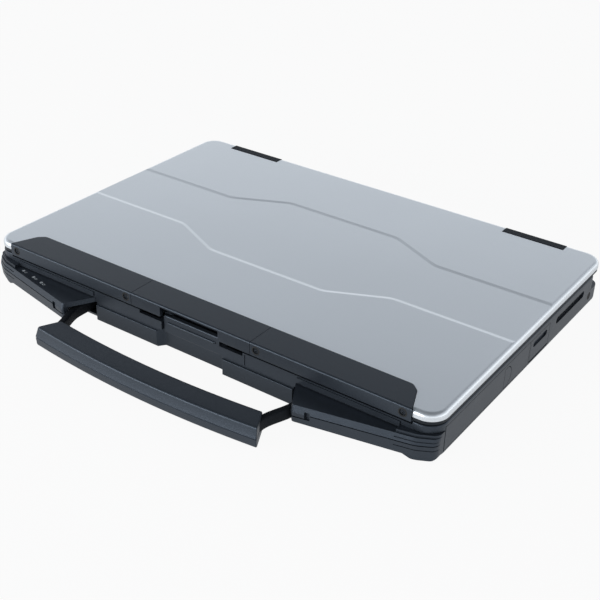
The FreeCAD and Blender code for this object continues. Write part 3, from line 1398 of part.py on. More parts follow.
def drive_module():
    """Drive module in the left bay, with a tray line and an eject mark."""
    module = mirror(pack_body())
    depth = -HALF + MARK_DEPTH
    line_z = MODULE_MARK_Z - TRAY_LINE_FALL
    line = box(
        -HALF - OVERRUN, BAY_FRONT + TRAY_LINE_INSET, line_z,
        depth, BAY_REAR - TRAY_LINE_INSET, line_z + TRAY_LINE,
    )
    eject_rear = BAY_REAR - EJECT_REAR_INSET
    eject_z = MODULE_MARK_Z + EJECT_RISE
    mark = box(-HALF - OVERRUN, eject_rear - EJECT_WIDTH, eject_z, depth, eject_rear, eject_z + EJECT_HEIGHT)
    return module.cut([line, mark])


def right_port_door():
    """Hinged door over the ports, with a finger slot and a pin at each end."""
    axis_x = HALF - DOOR_THICKNESS / 2
    inner = HALF - DOOR_THICKNESS
    panel = box(inner, DOOR_FRONT, DOOR_PIVOT_Z, HALF, DOOR_REAR, DOOR_TOP)
    root = rod(DOOR_THICKNESS / 2, (axis_x, DOOR_FRONT, DOOR_PIVOT_Z), (axis_x, DOOR_REAR, DOOR_PIVOT_Z))
    pin = rod(
        DOOR_PIN_RADIUS, (axis_x, DOOR_FRONT - DOOR_PIN_LENGTH, DOOR_PIVOT_Z),
        (axis_x, DOOR_REAR + DOOR_PIN_LENGTH, DOOR_PIVOT_Z),
    )
    slot_outline = rectangle(
        DOOR_FRONT + DOOR_SLOT_MARGIN, DOOR_SLOT_BOTTOM,
        DOOR_REAR - DOOR_SLOT_MARGIN, DOOR_SLOT_TOP, DOOR_SLOT_RADIUS,
    )
    slot = bar_along_x(slot_outline, HALF - DOOR_SLOT_DEPTH, HALF + OVERRUN)
    return join(panel, root, pin).cut(slot)


def right_port_block():
    """Port block behind the door, two sockets with their tongues."""
    outer = HALF - CASE_WALL - PORT_DOOR_GAP
    back = outer - PORT_SLOT_DEPTH
    top = PARTING_Z + PORT_BLOCK_RISE
    block = box(outer - PORT_BLOCK_DEPTH, DOOR_FRONT, FLOOR_TOP, outer, DOOR_REAR, top)
    z = PARTING_Z - PORT_FALL
    half_slot = PORT_SLOT_HEIGHT / 2
    half_tongue = PORT_TONGUE / 2
    inset = PORT_TONGUE_INSET
    sockets = []
    tongues = []
    for centre in ((DOOR_FRONT * 3 + DOOR_REAR) / 4, (DOOR_FRONT + DOOR_REAR * 3) / 4):
        y0 = centre - PORT_SLOT_WIDTH / 2
        y1 = centre + PORT_SLOT_WIDTH / 2
        sockets.append(box(back, y0, z - half_slot, outer + OVERRUN, y1, z + half_slot))
        tongue = box(back - ROOT, y0 + inset, z - half_tongue, outer - inset, y1 - inset, z + half_tongue)
        tongues.append(tongue)
    return join(block.cut(sockets), *tongues)


def vent_outline(inset):
    """Round-ended outline of the right vent, drawn in by an inset."""
    front, rear = VENT_FRONT + inset, VENT_REAR - inset
    return rectangle(front, VENT_BOTTOM + inset, rear, VENT_TOP - inset, VENT_RADIUS - inset)


def vent_grille():
    """Grille of upright bars, set back in the right vent."""
    inner = HALF - CASE_WALL
    frame = bar_along_x(vent_outline(SEAM), inner, HALF - VENT_SINK)
    pitch = (VENT_REAR - VENT_FRONT - VENT_BAR) / (VENT_BARS + 1)
    gaps = []
    for index in range(VENT_BARS + 1):
        y = VENT_FRONT + VENT_BAR + index * pitch
        gap = box(
            inner - OVERRUN, y, VENT_BOTTOM + VENT_BAR,
            HALF + OVERRUN, y + pitch - VENT_BAR, VENT_TOP - VENT_BAR,
        )
        gaps.append(gap)
    return frame.cut(gaps)


def corner_plug():
    """Rubber plug in the right wall near the rear corner."""
    return rod(PLUG_RADIUS, (HALF - CASE_WALL, PLUG_Y, PLUG_Z), (HALF, PLUG_Y, PLUG_Z))


def power_inlet():
    """Round power inlet in the left wall, with its centre pin."""
    inner = -HALF + INLET_LENGTH
    back = inner - INLET_BACK
    body = rod(INLET_RADIUS, (-HALF + INLET_SINK, INLET_Y, INLET_Z), (inner, INLET_Y, INLET_Z))
    bore = rod(INLET_BORE, (-HALF - OVERRUN, INLET_Y, INLET_Z), (back, INLET_Y, INLET_Z))
    pin_end = back + INLET_BACK / 2
    pin = rod(INLET_PIN, (-HALF + INLET_PIN_SINK, INLET_Y, INLET_Z), (pin_end, INLET_Y, INLET_Z))
    return join(body.cut(bore), pin)


# Inside the base
def mainboard():
    """Main circuit board on the bosses."""
    board = box(BOARD_LEFT, BOARD_FRONT, BOARD_Z, BOARD_RIGHT, BOARD_REAR, BOARD_TOP)
    holes = [
        rod(BOSS_BORE, (x, y, BOARD_Z - OVERRUN), (x, y, BOARD_TOP + OVERRUN))
        for x, y in screw_places()
    ]
    return board.cut(holes)


def on_board(x, y, length, width, thickness):
    """Component lying on the mainboard."""
    return box(x, y, BOARD_TOP, x + length, y + width, BOARD_TOP + thickness)


def memory_module():
    """Memory module in its socket on the board."""
    x = BOARD_LEFT + MEMORY_SIDE_GAP
    y = BOARD_FRONT + MEMORY_FRONT_GAP
    return on_board(x, y, MEMORY_LENGTH, MEMORY_WIDTH, MEMORY_THICKNESS)


def storage_drive():
    """Flat storage drive on the board."""
    x = BOARD_LEFT + MEMORY_SIDE_GAP + MEMORY_LENGTH + DRIVE_MEMORY_GAP
    y = BOARD_FRONT + DRIVE_FRONT_GAP
    return on_board(x, y, DRIVE_LENGTH, DRIVE_WIDTH, DRIVE_THICKNESS)


def heat_sink():
    """Copper spreader on the processor, a flat heat pipe and a fin stack behind the vent."""
    spreader_y = FAN_Y - SPREADER_SIDE / 2
    spreader = on_board(SPREADER_X, spreader_y, SPREADER_SIDE, SPREADER_SIDE, SPREADER_THICKNESS)
    pipe_z = BOARD_TOP + SPREADER_THICKNESS
    pipe_y = FAN_Y + FAN_SIDE / 2 + FIT_GAP
    fin_outer = HALF - CASE_WALL - FIT_GAP
    fin_inner = FAN_X + FAN_SIDE / 2 + FIT_GAP
    pipe_rear = pipe_y + PIPE_WIDTH
    pipe_top = pipe_z + PIPE_THICKNESS
    across = box(SPREADER_X, FAN_Y, pipe_z, SPREADER_X + PIPE_WIDTH, pipe_rear, pipe_top)
    along = box(SPREADER_X, pipe_y, pipe_z, fin_outer, pipe_rear, pipe_top)
    fins = []
    pitch = (FAN_SIDE - SINK_FIN) / (SINK_FINS - 1)
    for index in range(SINK_FINS):
        y = FAN_Y - FAN_SIDE / 2 + index * pitch
        fins.append(box(fin_inner, y, FAN_BOTTOM, fin_outer, y + SINK_FIN, FAN_TOP))
    base_bottom = FAN_BOTTOM - SINK_BASE
    base = box(fin_inner, FAN_Y - FAN_SIDE / 2, base_bottom, fin_outer, pipe_rear, FAN_BOTTOM)
    riser = box(fin_inner, pipe_y, base_bottom, fin_outer, pipe_rear, pipe_z)
    return join(spreader, across, along, base, riser, *fins)


def fan_housing():
    """Square fan housing, open to the fins and above the rotor."""
    half = FAN_SIDE / 2
    body = box(FAN_X - half, FAN_Y - half, FAN_BOTTOM, FAN_X + half, FAN_Y + half, FAN_TOP)
    floor = FAN_BOTTOM + FAN_WALL
    roof = FAN_TOP - FAN_WALL
    chamber = rod(FAN_RADIUS + FAN_TIP_GAP, (FAN_X, FAN_Y, floor), (FAN_X, FAN_Y, roof))
    eye = rod(FAN_RADIUS - FAN_EYE_LIP, (FAN_X, FAN_Y, roof - OVERRUN), (FAN_X, FAN_Y, FAN_TOP + OVERRUN))
    outlet = box(FAN_X, FAN_Y - FAN_RADIUS, floor, FAN_X + half + OVERRUN, FAN_Y + FAN_RADIUS, roof)
    shaft = rod(FAN_SHAFT, (FAN_X, FAN_Y, FAN_BOTTOM), (FAN_X, FAN_Y, roof - FAN_SHAFT_GAP))
    return join(body.cut([chamber, eye, outlet]), shaft)


def fan_rotor():
    """Fan rotor on the housing's shaft."""
    bottom = FAN_BOTTOM + FAN_WALL + FIT_GAP
    top = FAN_TOP - FAN_WALL - FIT_GAP
    hub = rod(FAN_HUB, (FAN_X, FAN_Y, bottom), (FAN_X, FAN_Y, top))
    blades = []
    for index in range(FAN_BLADES):
        blade = box(
            FAN_X + FAN_HUB - ROOT, FAN_Y - FAN_BLADE / 2, bottom, FAN_X + FAN_RADIUS,
            FAN_Y + FAN_BLADE / 2, top,
        )
        blade.rotate(Vector(FAN_X, FAN_Y, 0), Vector(0, 0, 1), index * 360 / FAN_BLADES)
        blades.append(blade)
    bore = rod(FAN_SHAFT + PIN_FIT, (FAN_X, FAN_Y, bottom - OVERRUN), (FAN_X, FAN_Y, top + OVERRUN))
    return join(hub, *blades).cut(bore)


def speakers():
    """Two speakers beside the touchpad, on seats in the floor."""
    half = SPEAKER_LENGTH / 2
    side = SPEAKER_WIDTH / 2
    top = SPEAKER_SEAT + SPEAKER_HEIGHT
    return both_sides(
        box(SPEAKER_X - half, SPEAKER_Y - side, SPEAKER_SEAT, SPEAKER_X + half, SPEAKER_Y + side, top),
    )


# Underside and rear
def feet():
    """Four rubber feet."""
    half_length = FOOT_LENGTH / 2
    half_width = FOOT_WIDTH / 2
    pads = []
    for y in (FOOT_FRONT_Y, FOOT_REAR_Y):
        outline = rectangle(
            FOOT_X - half_length, y - half_width, FOOT_X + half_length, y + half_width,
            half_width * ROUND_END,
        )
        pads.append(plate(outline, 0, FOOT_HEIGHT))
    return Part.makeCompound(pads + [mirror(pad) for pad in pads])


def case_screws():
    """Screws from below into the board bosses."""
    screws = []
    for x, y in screw_places():
        head = rod(SCREW_HEAD_RADIUS, (x, y, CASE_BOTTOM + SEAM), (x, y, CASE_BOTTOM + SCREW_HEAD_HEIGHT))
        screws.append(
            join(head, rod(SCREW_RADIUS, (x, y, CASE_BOTTOM + SEAM), (x, y, CASE_BOTTOM + SCREW_LENGTH))),
        )
    return Part.makeCompound(screws)


def dock_connector():
    """Docking connector in the floor, under the mainboard."""
    half = DOCK_LENGTH / 2
    front = DOCK_Y - DOCK_WIDTH / 2
    rear = DOCK_Y + DOCK_WIDTH / 2
    top = CASE_BOTTOM + DOCK_HEIGHT
    body = box(-half, front, CASE_BOTTOM + DOCK_SINK, half, rear, top)
    stem_half = half - DOCK_STEM_END_INSET
    inset = DOCK_STEM_SIDE_INSET
    stem = box(-stem_half, front + inset, top, stem_half, rear - inset, BOARD_Z)
    return join(body, stem)


def rear_blank_cover():
    """Blank cover of the rear expansion place."""
    half = REAR_COVER_LENGTH / 2
    return box(-half, CASE_REAR - REAR_COVER_THICKNESS, REAR_COVER_BOTTOM, half, CASE_REAR, REAR_COVER_TOP)


def all_pieces():
    """Every node by name."""
    guard_right, guard_left = front_guard()
    grip_upper, grip_lower = grip_shells()
    keycaps, space_bar = keys()
    pieces = antenna_covers()
    pieces.update(
        lid_back_cover=lid_back_cover(), lid_bezel=lid_bezel(), display_panel=display_panel(),
        screen_glass=screen_glass(), bezel_pads=bezel_pads(), antenna_cover_screws=antenna_cover_screws(),
        antenna_boards=antenna_boards(), camera_module=camera_module(), camera_shutter=camera_shutter(),
        hinge_cap_left=mirror(hinge_cap()), hinge_cap_right=hinge_cap(),
        hinge_lid_leaf_left=mirror(hinge_lid_leaf()), hinge_lid_leaf_right=hinge_lid_leaf(),
        hinge_base_leaf_left=mirror(hinge_base_leaf()), hinge_base_leaf_right=hinge_base_leaf(),
        hinge_pins=hinge_pins(), upper_case=upper_case(), lower_case=lower_case(),
        front_guard_left=guard_left, front_guard_right=guard_right, indicator_lenses=indicator_lenses(),
        handle_grip_upper=grip_upper, handle_grip_lower=grip_lower, handle_screws=handle_screws(),
        handle_arm_left=mirror(handle_arm()), handle_arm_right=handle_arm(),
        latch_lever=latch_lever(), latch_pin=latch_pin(), latch_hooks=latch_hooks(),
        keycaps=keycaps, space_bar=space_bar, keyboard_tray=keyboard_tray(), touchpad=touchpad(),
        touchpad_button_left=mirror(touchpad_button()), touchpad_button_right=touchpad_button(),
        power_button=power_button(), battery_pack=battery_pack(), battery_lock=battery_lock(),
        drive_module=drive_module(), right_port_door=right_port_door(), right_port_block=right_port_block(),
        vent_grille=vent_grille(), corner_plug=corner_plug(), power_inlet=power_inlet(),
        mainboard=mainboard(), memory_module=memory_module(), storage_drive=storage_drive(),
        heat_sink=heat_sink(), fan_housing=fan_housing(), fan_rotor=fan_rotor(), speakers=speakers(),
        feet=feet(), case_screws=case_screws(), dock_connector=dock_connector(),
        rear_blank_cover=rear_blank_cover(),
    )
    return pieces


def save(name, shape):
    """Write one piece, moved so that the origin is under the middle of the footprint."""
    moved = shape.copy()
    moved.translate(Vector(0, -FOOTPRINT_CENTRE_Y, 0))
    moved.exportStep(os.path.join("parts", name + ".step"))


os.makedirs("parts", exist_ok=True)
for piece_name, piece_shape in all_pieces().items():
    save(piece_name, piece_shape)
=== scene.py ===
"""A rugged laptop computer, closed, with its carrying handle pulled out.

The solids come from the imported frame. This file paints them, adds the finer pieces that they
carry, and sets a pale studio round them, seen from the front right and from above.
"""

import bmesh
import bpy
import numpy as np
from mathutils import Matrix, Vector


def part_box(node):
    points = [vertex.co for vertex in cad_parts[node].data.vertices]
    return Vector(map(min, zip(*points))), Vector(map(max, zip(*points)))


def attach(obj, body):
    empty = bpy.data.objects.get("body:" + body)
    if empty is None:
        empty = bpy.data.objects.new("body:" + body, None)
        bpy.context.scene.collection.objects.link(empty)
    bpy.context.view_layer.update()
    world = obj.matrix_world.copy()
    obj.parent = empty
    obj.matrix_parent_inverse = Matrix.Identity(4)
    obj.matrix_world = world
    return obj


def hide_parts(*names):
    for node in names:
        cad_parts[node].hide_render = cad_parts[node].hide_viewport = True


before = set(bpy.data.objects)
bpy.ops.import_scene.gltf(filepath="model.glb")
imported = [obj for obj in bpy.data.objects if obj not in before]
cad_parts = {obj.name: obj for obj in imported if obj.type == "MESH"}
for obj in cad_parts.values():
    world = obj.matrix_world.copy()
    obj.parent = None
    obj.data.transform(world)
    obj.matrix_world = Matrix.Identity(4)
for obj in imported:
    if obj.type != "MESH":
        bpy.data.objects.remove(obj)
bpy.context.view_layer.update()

bl_info = {
    "name": "Rugged laptop",
    "version": (1, 0, 0),
    "blender": (4, 5, 0),
    "location": "3D View > Sidebar > Laptop",
    "description": "Paints and details a rugged laptop with a carrying handle",
    "category": "Add Mesh",
}

MM = 0.001

# Camera, solved from the lid's edges and corners in the photograph
CAMERA_PLACE = Vector((0.3708, -0.5147, 0.3740))
CAMERA_RIGHT = Vector((0.8166, 0.5766, 0.0263))
CAMERA_UP = Vector((-0.3096, 0.3992, 0.8630))
CAMERA_BACK = Vector((0.4871, -0.7129, 0.5045))
SENSOR_WIDTH = 36.0

# Softened edges of the solids: the weld's reach in metres, an edge's least angle in radians and its steps
WELD_REACH = 0.00001
EDGE_ANGLE = 0.6
EDGE_STEPS = 2

# Steps of a quarter circle, and of a whole turn on fine pieces
QUARTER_STEPS = 7
TURN_STEPS = 64

# Grip and arms of the handle, in millimetres
GRIP_STATIONS = 61
GRIP_FRONT_BOW = 5.2
GRIP_REAR_BOW = 4.6
GRIP_REAR_SHARE = 79.0 / 87.0
GRIP_LEAN = 1.6
GRIP_LOWER_LEAN = 0.3
GRIP_EDGE = 1.5
GRIP_REAR_EDGE = 1.2
GRIP_PART_INSET = 0.4
GRIP_END_EDGE = 0.9
ARM_STATIONS = 49
ARM_TURN_STEPS = 32
ARM_TONGUE_INSET = 3.0
ARM_HALF = 2.2
ARM_EDGE = 1.3
ARM_SWAY = 7.0
ARM_SWAY_START = 0.45
ARM_SWAY_END = 0.95

# Screws in the front of the lid, in millimetres
SCREW_X = (51.5, 151.0)
SCREW_RINGS = 14
SCREW_TURN_STEPS = 72
SCREW_RADIUS = 2.0
SCREW_DOME = 6.0
SCREW_THICKNESS = 1.2
CROSS_HALF = 0.3
CROSS_REACH = 1.3
CROSS_EDGE = 0.06
CROSS_DEPTH = 0.5
SEAT_RINGS = 9
SEAT_INNER = 2.05
SEAT_OUTER = 2.9
SEAT_PROUD = 0.06

# Keyboard, in millimetres, with row 0 nearest the user: each key's width in pitches, and its legend
KEY_PITCH = 19.0
KEY_GAP = 2.6
KEY_ROW_PITCH = 18.2
KEY_TOP_ROW_PITCH = 13.0
KEY_TOP_ROW_WIDTH = 15.5 / 16
KEY_ROWS = (
    (
        (1.25, "Ctrl"), (1.0, "Fn"), (1.0, "Menu"), (1.25, "Alt"), (5.5, ""), (1.25, "Alt"),
        (1.25, "Ctrl"), (1.0, "<"), (1.0, "v"), (1.0, ">"),
    ),
    ((2.25, "Shift"), *((1.0, letter) for letter in "ZXCVBNM,./"), (2.25, "Shift"), (1.0, "^")),
    ((1.75, "Caps"), *((1.0, letter) for letter in "ASDFGHJKL;'"), (2.75, "Enter")),
    ((1.5, "Tab"), *((1.0, letter) for letter in "QWERTYUIOP[]"), (2.0, "Del")),
    (*((1.0, letter) for letter in "`1234567890-="), (2.5, "Back")),
    tuple(
        (KEY_TOP_ROW_WIDTH, word)
        for word in ("Esc", *(f"F{count}" for count in range(1, 13)), "Ins", "Home", "End")
    ),
)
LETTER_SIZE = 4.6
WORD_SIZE = 3.0
LETTER_STEPS = 3
PRINT_THICKNESS = 0.02

# Marks beside the lamps on the left guard: place, half sizes and squareness, in millimetres
LAMP_MARKS = (
    (-139.9, -95.35, 0.9, 0.9, 2.0),
    (-128.3, -97.35, 1.2, 0.7, 7.0),
    (-118.6, -99.45, 1.1, 0.8, 3.0),
)
MARK_RINGS = 7
MARK_LINE = 0.35

# Crest of the rib across the latch lever, in millimetres
RIB_STATIONS = 61
RIB_TURN_STEPS = 32
RIB_END_CLOSE = 0.98
RIB_HEIGHT = 20.8
RIB_HALF = 18.6
RIB_RADIUS = 0.8
RIB_PROUD = 0.45

# Painted blue cast on the reflections of the dark plastics, which stands in for the cooler light before
# the laptop: it turns white light slightly blue
PAINTED_COOL_SHEEN = (0.67, 0.81, 1.0)

# Colour sockets of the Mix node, whose names its other kinds share
MIX_FACTOR = 0
MIX_FIRST = 6
MIX_SECOND = 7
MIX_RESULT = 2

# Soft boxes, in metres: place, target, width and height
FRONT_LIGHT = ((-0.5, -1.1, 0.25), (0.0, -0.1, 0.01), 1.2, 0.4)
SIDE_LIGHT = ((0.95, 0.25, 0.45), (0.1, 0.0, 0.0), 1.4, 0.8)

# Floor: half width in metres, grey level, and share of its plain white in what each kind of ray sees
FLOOR_HALF = 4.0
FLOOR_GREY = 0.9
FLOOR_WHITE_SHARES = {"Is Camera Ray": 0.93, "Is Glossy Ray": 0.5, "Is Transmission Ray": 0.93}

# Light of the room by the sine of the height above the horizon
ROOM_STOPS = (
    (0.0, (0.80, 0.81, 0.82)),
    (0.15, (0.72, 0.74, 0.76)),
    (0.28, (0.60, 0.62, 0.64)),
    (0.38, (0.405, 0.425, 0.45)),
    (0.46, (0.345, 0.365, 0.39)),
    (0.55, (0.245, 0.26, 0.28)),
    (0.65, (0.185, 0.195, 0.21)),
    (0.8, (0.10, 0.11, 0.12)),
    (1.0, (0.07, 0.077, 0.084)),
)


class Value:
    """A socket that can stand in a sum: each operator adds the Math node that works it out."""

    def __init__(self, tree, socket):
        self.tree = tree
        self.socket = socket

    def combine(self, operation, first, second):
        return self.tree.value("ShaderNodeMath", {"operation": operation}, {0: first, 1: second})

    def __add__(self, other):
        return self.combine("ADD", self, other)

    def __radd__(self, other):
        return self.combine("ADD", other, self)

    def __mul__(self, other):
        return self.combine("MULTIPLY", self, other)


class Tree:
    """An emptied node tree, with one method that adds any node."""

    def __init__(self, owner, output):
        owner.use_nodes = True
        self.nodes = owner.node_tree.nodes
        self.links = owner.node_tree.links
        self.nodes.clear()
        self.output = self.node(output)

    def node(self, kind, settings=None, sockets=None):
        """Adds a node of that kind: its settings come first, then its sockets' values or links."""
        node = self.nodes.new(kind)
        for name, setting in (settings or {}).items():
            setattr(node, name, setting)
        for name, value in (sockets or {}).items():
            if isinstance(value, Value):
                value = value.socket
            if isinstance(value, bpy.types.NodeSocket):
                self.links.new(value, node.inputs[name])
            else:
                node.inputs[name].default_value = value
        return node

    def value(self, kind, settings=None, sockets=None, output=0):
        """The named output of a new node, ready for sums."""
        return Value(self, self.node(kind, settings, sockets).outputs[output])

    def close(self, shader):
        """Joins the last shader to the tree's output."""
        self.links.new(shader.outputs[0], self.output.inputs["Surface"])


class Finish(Tree):
    """A material's node tree, with the patterns that the finishes share."""

    def __init__(self, name):
        self.material = bpy.data.materials.new(name)
        super().__init__(self.material, "ShaderNodeOutputMaterial")

    def place(self):
        """Object coordinates, which stay on the piece."""
        return self.node("ShaderNodeTexCoord").outputs["Object"]

    def noise(self, scale, detail=2.0, roughness=0.5):
        """A cloud of grey levels from 0 to 1, with that many lumps to a metre."""
        sockets = {"Vector": self.place(), "Scale": scale, "Detail": detail, "Roughness": roughness}
        return self.value("ShaderNodeTexNoise", {}, sockets, "Fac")

    def spread(self, value, low, high):
        """A value from 0 to 1 carried over to the range from low to high."""
        sockets = {"Value": value, "To Min": low, "To Max": high}
        return self.value("ShaderNodeMapRange", {"clamp": True}, sockets)

    def blend(self, factor, first, second):
        """A colour between two colours."""
        sockets = {MIX_FACTOR: factor, MIX_FIRST: (*first, 1.0), MIX_SECOND: (*second, 1.0)}
        settings = {"data_type": "RGBA", "clamp_factor": True}
        return self.node("ShaderNodeMix", settings, sockets).outputs[MIX_RESULT]

    def bump(self, height, strength, distance):
        """The normal of a surface raised by a height from 0 to 1 times a distance in metres."""
        sockets = {"Height": height, "Strength": strength, "Distance": distance}
        return self.node("ShaderNodeBump", {}, sockets).outputs["Normal"]

    def surface(self, sockets):
        """Closes the tree with one Principled shader."""
        self.close(self.node("ShaderNodeBsdfPrincipled", {}, sockets))
        return self.material


def darker(colour, share):
    """A colour with that share of its light."""
    return tuple(channel * share for channel in colour)


def grained_plastic(name, colour, roughness, grain, depth, gloss):
    """Moulded plastic: a fine even grain in relief, and slow patches of more and less sheen."""
    finish = Finish(name)
    patches = finish.noise(scale=60.0, detail=4.0)
    pores = finish.noise(scale=grain, detail=3.0, roughness=0.6)
    base = finish.blend(patches, darker(colour, 0.86), darker(colour, 1.14))
    return finish.surface({
        "Base Color": base,
        "Roughness": finish.spread(patches * 0.6 + pores * 0.4, roughness - 0.07, roughness + 0.07),
        "Specular IOR Level": gloss,
        # Painted blue cast on the reflections, which stands in for the cooler light before the laptop
        "Specular Tint": (*PAINTED_COOL_SHEEN, 1.0),
        "Normal": finish.bump(pores, strength=0.35, distance=depth),
    })


def flake_paint(name, colour):
    """Satin silver paint: metal flakes too small to tell apart, and a faint orange peel."""
    finish = Finish(name)
    flakes = finish.noise(scale=5200.0, roughness=0.7)
    peel = finish.noise(scale=900.0)
    drift = finish.noise(scale=9.0)
    base = finish.blend(flakes * 0.7 + drift * 0.3, darker(colour, 0.90), darker(colour, 1.10))
    return finish.surface({
        "Base Color": base,
        "Metallic": 0.85,
        "Roughness": finish.spread(flakes, 0.26, 0.36),
        "Normal": finish.bump(flakes * 0.5 + peel * 0.5, strength=0.12, distance=0.00006),
    })


def rolled_metal(name, colour, roughness):
    """Metal with the fine straight lines of rolling along its length."""
    finish = Finish(name)
    stretch = {"Vector": finish.place(), "Scale": (40.0, 1500.0, 1500.0)}
    mapping = finish.node("ShaderNodeMapping", {}, stretch)
    sockets = {"Vector": mapping.outputs[0], "Scale": 1.0, "Detail": 3.0}
    lines = finish.value("ShaderNodeTexNoise", {}, sockets, "Fac")
    return finish.surface({
        "Base Color": finish.blend(lines, darker(colour, 0.8), colour),
        "Metallic": 1.0,
        "Roughness": finish.spread(lines, roughness - 0.08, roughness + 0.1),
        "Normal": finish.bump(lines, strength=0.2, distance=0.00003),
    })


def dark_glass(name, colour):
    """A screen that is off: near black under a clear gloss with the faintest wipe marks."""
    finish = Finish(name)
    wipes = finish.noise(scale=25.0, detail=4.0)
    return finish.surface({
        "Base Color": finish.blend(wipes, darker(colour, 0.8), darker(colour, 1.2)),
        "Roughness": finish.spread(wipes, 0.10, 0.18),
        "Coat Weight": 0.4,
    })


def board(name, colour):
    """Green circuit board: solder mask over a maze of copper tracks that stand proud of it."""
    finish = Finish(name)
    sockets = {"Vector": finish.place(), "Scale": 260.0, "Randomness": 0.4}
    tracks = finish.value("ShaderNodeTexVoronoi", {"distance": "CHEBYCHEV"}, sockets, "Distance")
    return finish.surface({
        "Base Color": finish.blend(tracks, colour, darker(colour, 2.2)),
        "Roughness": finish.spread(tracks, 0.35, 0.5),
        "Normal": finish.bump(tracks, strength=0.3, distance=0.00008),
    })


def soft_rubber(name, colour):
    """Matt rubber with a dusty bloom."""
    finish = Finish(name)
    bloom = finish.noise(scale=140.0, detail=4.0)
    pores = finish.noise(scale=2600.0)
    return finish.surface({
        "Base Color": finish.blend(bloom, colour, darker(colour, 1.7)),
        "Roughness": finish.spread(bloom, 0.72, 0.9),
        "Normal": finish.bump(pores, strength=0.4, distance=0.00005),
    })


def lens_plastic(name, colour):
    """The clear milky window of an indicator lamp that is off."""
    finish = Finish(name)
    milk = finish.noise(scale=700.0)
    return finish.surface({
        "Base Color": finish.blend(milk, darker(colour, 0.85), colour),
        "Roughness": finish.spread(milk, 0.2, 0.32),
        "Coat Weight": 0.5,
    })


# Plastics: the panel's colour, roughness, grain in lumps to a metre, its depth in metres, and gloss
PLASTICS = {
    "charcoal_plastic": ("case_plastic", 0.38, 2600.0, 0.00008, 0.74),
    "black_plastic": ("dark_plastic", 0.5, 3000.0, 0.00005, 0.4),
    "key_plastic": ("key_plastic", 0.48, 3400.0, 0.00004, 0.4),
    "matt_plastic": ("case_plastic", 0.6, 2600.0, 0.00008, 0.25),
    "black_steel": ("black_steel", 0.4, 1800.0, 0.00006, 0.5),
    "matt_coating": ("black_steel", 0.62, 2200.0, 0.00006, 0.16),
}

# Metals, whose colours have the same names: roughness
METALS = {"steel": 0.38, "copper": 0.32}

# Other finishes: the panel's colour and the maker
OTHERS = {
    "silver_paint": ("lid_paint", flake_paint),
    "rubber": ("rubber", soft_rubber),
    "screen": ("screen", dark_glass),
    "circuit_board": ("circuit_board", board),
    "lamp": ("lamp", lens_plastic),
}

# Finishes that have been made, by name
FINISHES = {}


def paint(name):
    """The finish of a record slot, or a matt kind of one, made once from the panel's colours."""
    if name not in FINISHES:
        looks = bpy.context.scene.laptop_looks
        if name in PLASTICS:
            colour, *surface = PLASTICS[name]
            FINISHES[name] = grained_plastic(name, getattr(looks, colour), *surface)
        elif name in METALS:
            FINISHES[name] = rolled_metal(name, getattr(looks, name), METALS[name])
        else:
            colour, maker = OTHERS[name]
            FINISHES[name] = maker(name, getattr(looks, colour))
    return FINISHES[name]


def repaint(*names, finish=None):
    """Gives these solids a finish, or else the material of their own record slot."""
    for name in names:
        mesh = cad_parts[name].data
        mesh.materials[0] = paint(finish or mesh.materials[0].name)


def soften(width, *names):
    """Rounds the sharp edges of these solids by a width in metres, as moulding and casting do."""
    for name in names:
        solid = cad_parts[name]
        weld = solid.modifiers.new("weld", "WELD")
        weld.merge_threshold = WELD_REACH
        edge = solid.modifiers.new("edge", "BEVEL")
        edge.width = width
        edge.segments = EDGE_STEPS
        edge.limit_method = "ANGLE"
        edge.angle_limit = EDGE_ANGLE
        edge.harden_normals = True
        edge.use_clamp_overlap = True
        solid.modifiers.new("shade", "WEIGHTED_NORMAL").keep_sharp = True


def mesh_piece(name, points, faces, slot, body, finish=None):
    """An object at the origin from points in metres: faces outwards, smooth between creases."""
    mesh = bpy.data.meshes.new(name)
    mesh.from_pydata(points, [], faces)
    work = bmesh.new()
    work.from_mesh(mesh)
    bmesh.ops.recalc_face_normals(work, faces=work.faces)
    work.to_mesh(mesh)
    work.free()
    mesh.polygons.foreach_set("use_smooth", np.ones(len(mesh.polygons), dtype=bool))
    mesh.set_sharp_from_angle(angle=EDGE_ANGLE)
    mesh.materials.append(paint(finish or slot))
    piece = bpy.data.objects.new(name, mesh)
    bpy.context.scene.collection.objects.link(piece)
    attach(piece, body)
    return piece


def ring_faces(stations, around):
    """Quads between neighbouring closed rings of points."""
    here = np.arange(stations * around).reshape(stations, around)
    there = np.roll(here, -1, axis=1)
    return np.stack([here[:-1], there[:-1], there[1:], here[1:]], axis=-1).reshape(-1, 4).tolist()


def tube(rings):
    """Points and faces of a tube through an array of rings (stations, points, 3).

    Neighbouring rings are joined by quads, and each end is closed by a fan to the mean of its ring.
    """
    stations, around = rings.shape[:2]
    ends = rings[[0, -1]].mean(axis=1)
    points = np.concatenate([rings.reshape(-1, 3), ends])
    first = np.arange(around)
    last = first + (stations - 1) * around
    start = np.stack([np.roll(first, -1), first, np.full(around, stations * around)], axis=-1)
    finish = np.stack([last, np.roll(last, -1), np.full(around, stations * around + 1)], axis=-1)
    return points.tolist(), ring_faces(stations, around) + start.tolist() + finish.tolist()


def quarter():
    """Angles of a quarter turn."""
    return np.linspace(0.0, np.pi / 2, QUARTER_STEPS)


def whole_turn(steps):
    """Angles of a whole turn, without its end."""
    return np.linspace(0.0, 2 * np.pi, steps, endpoint=False)


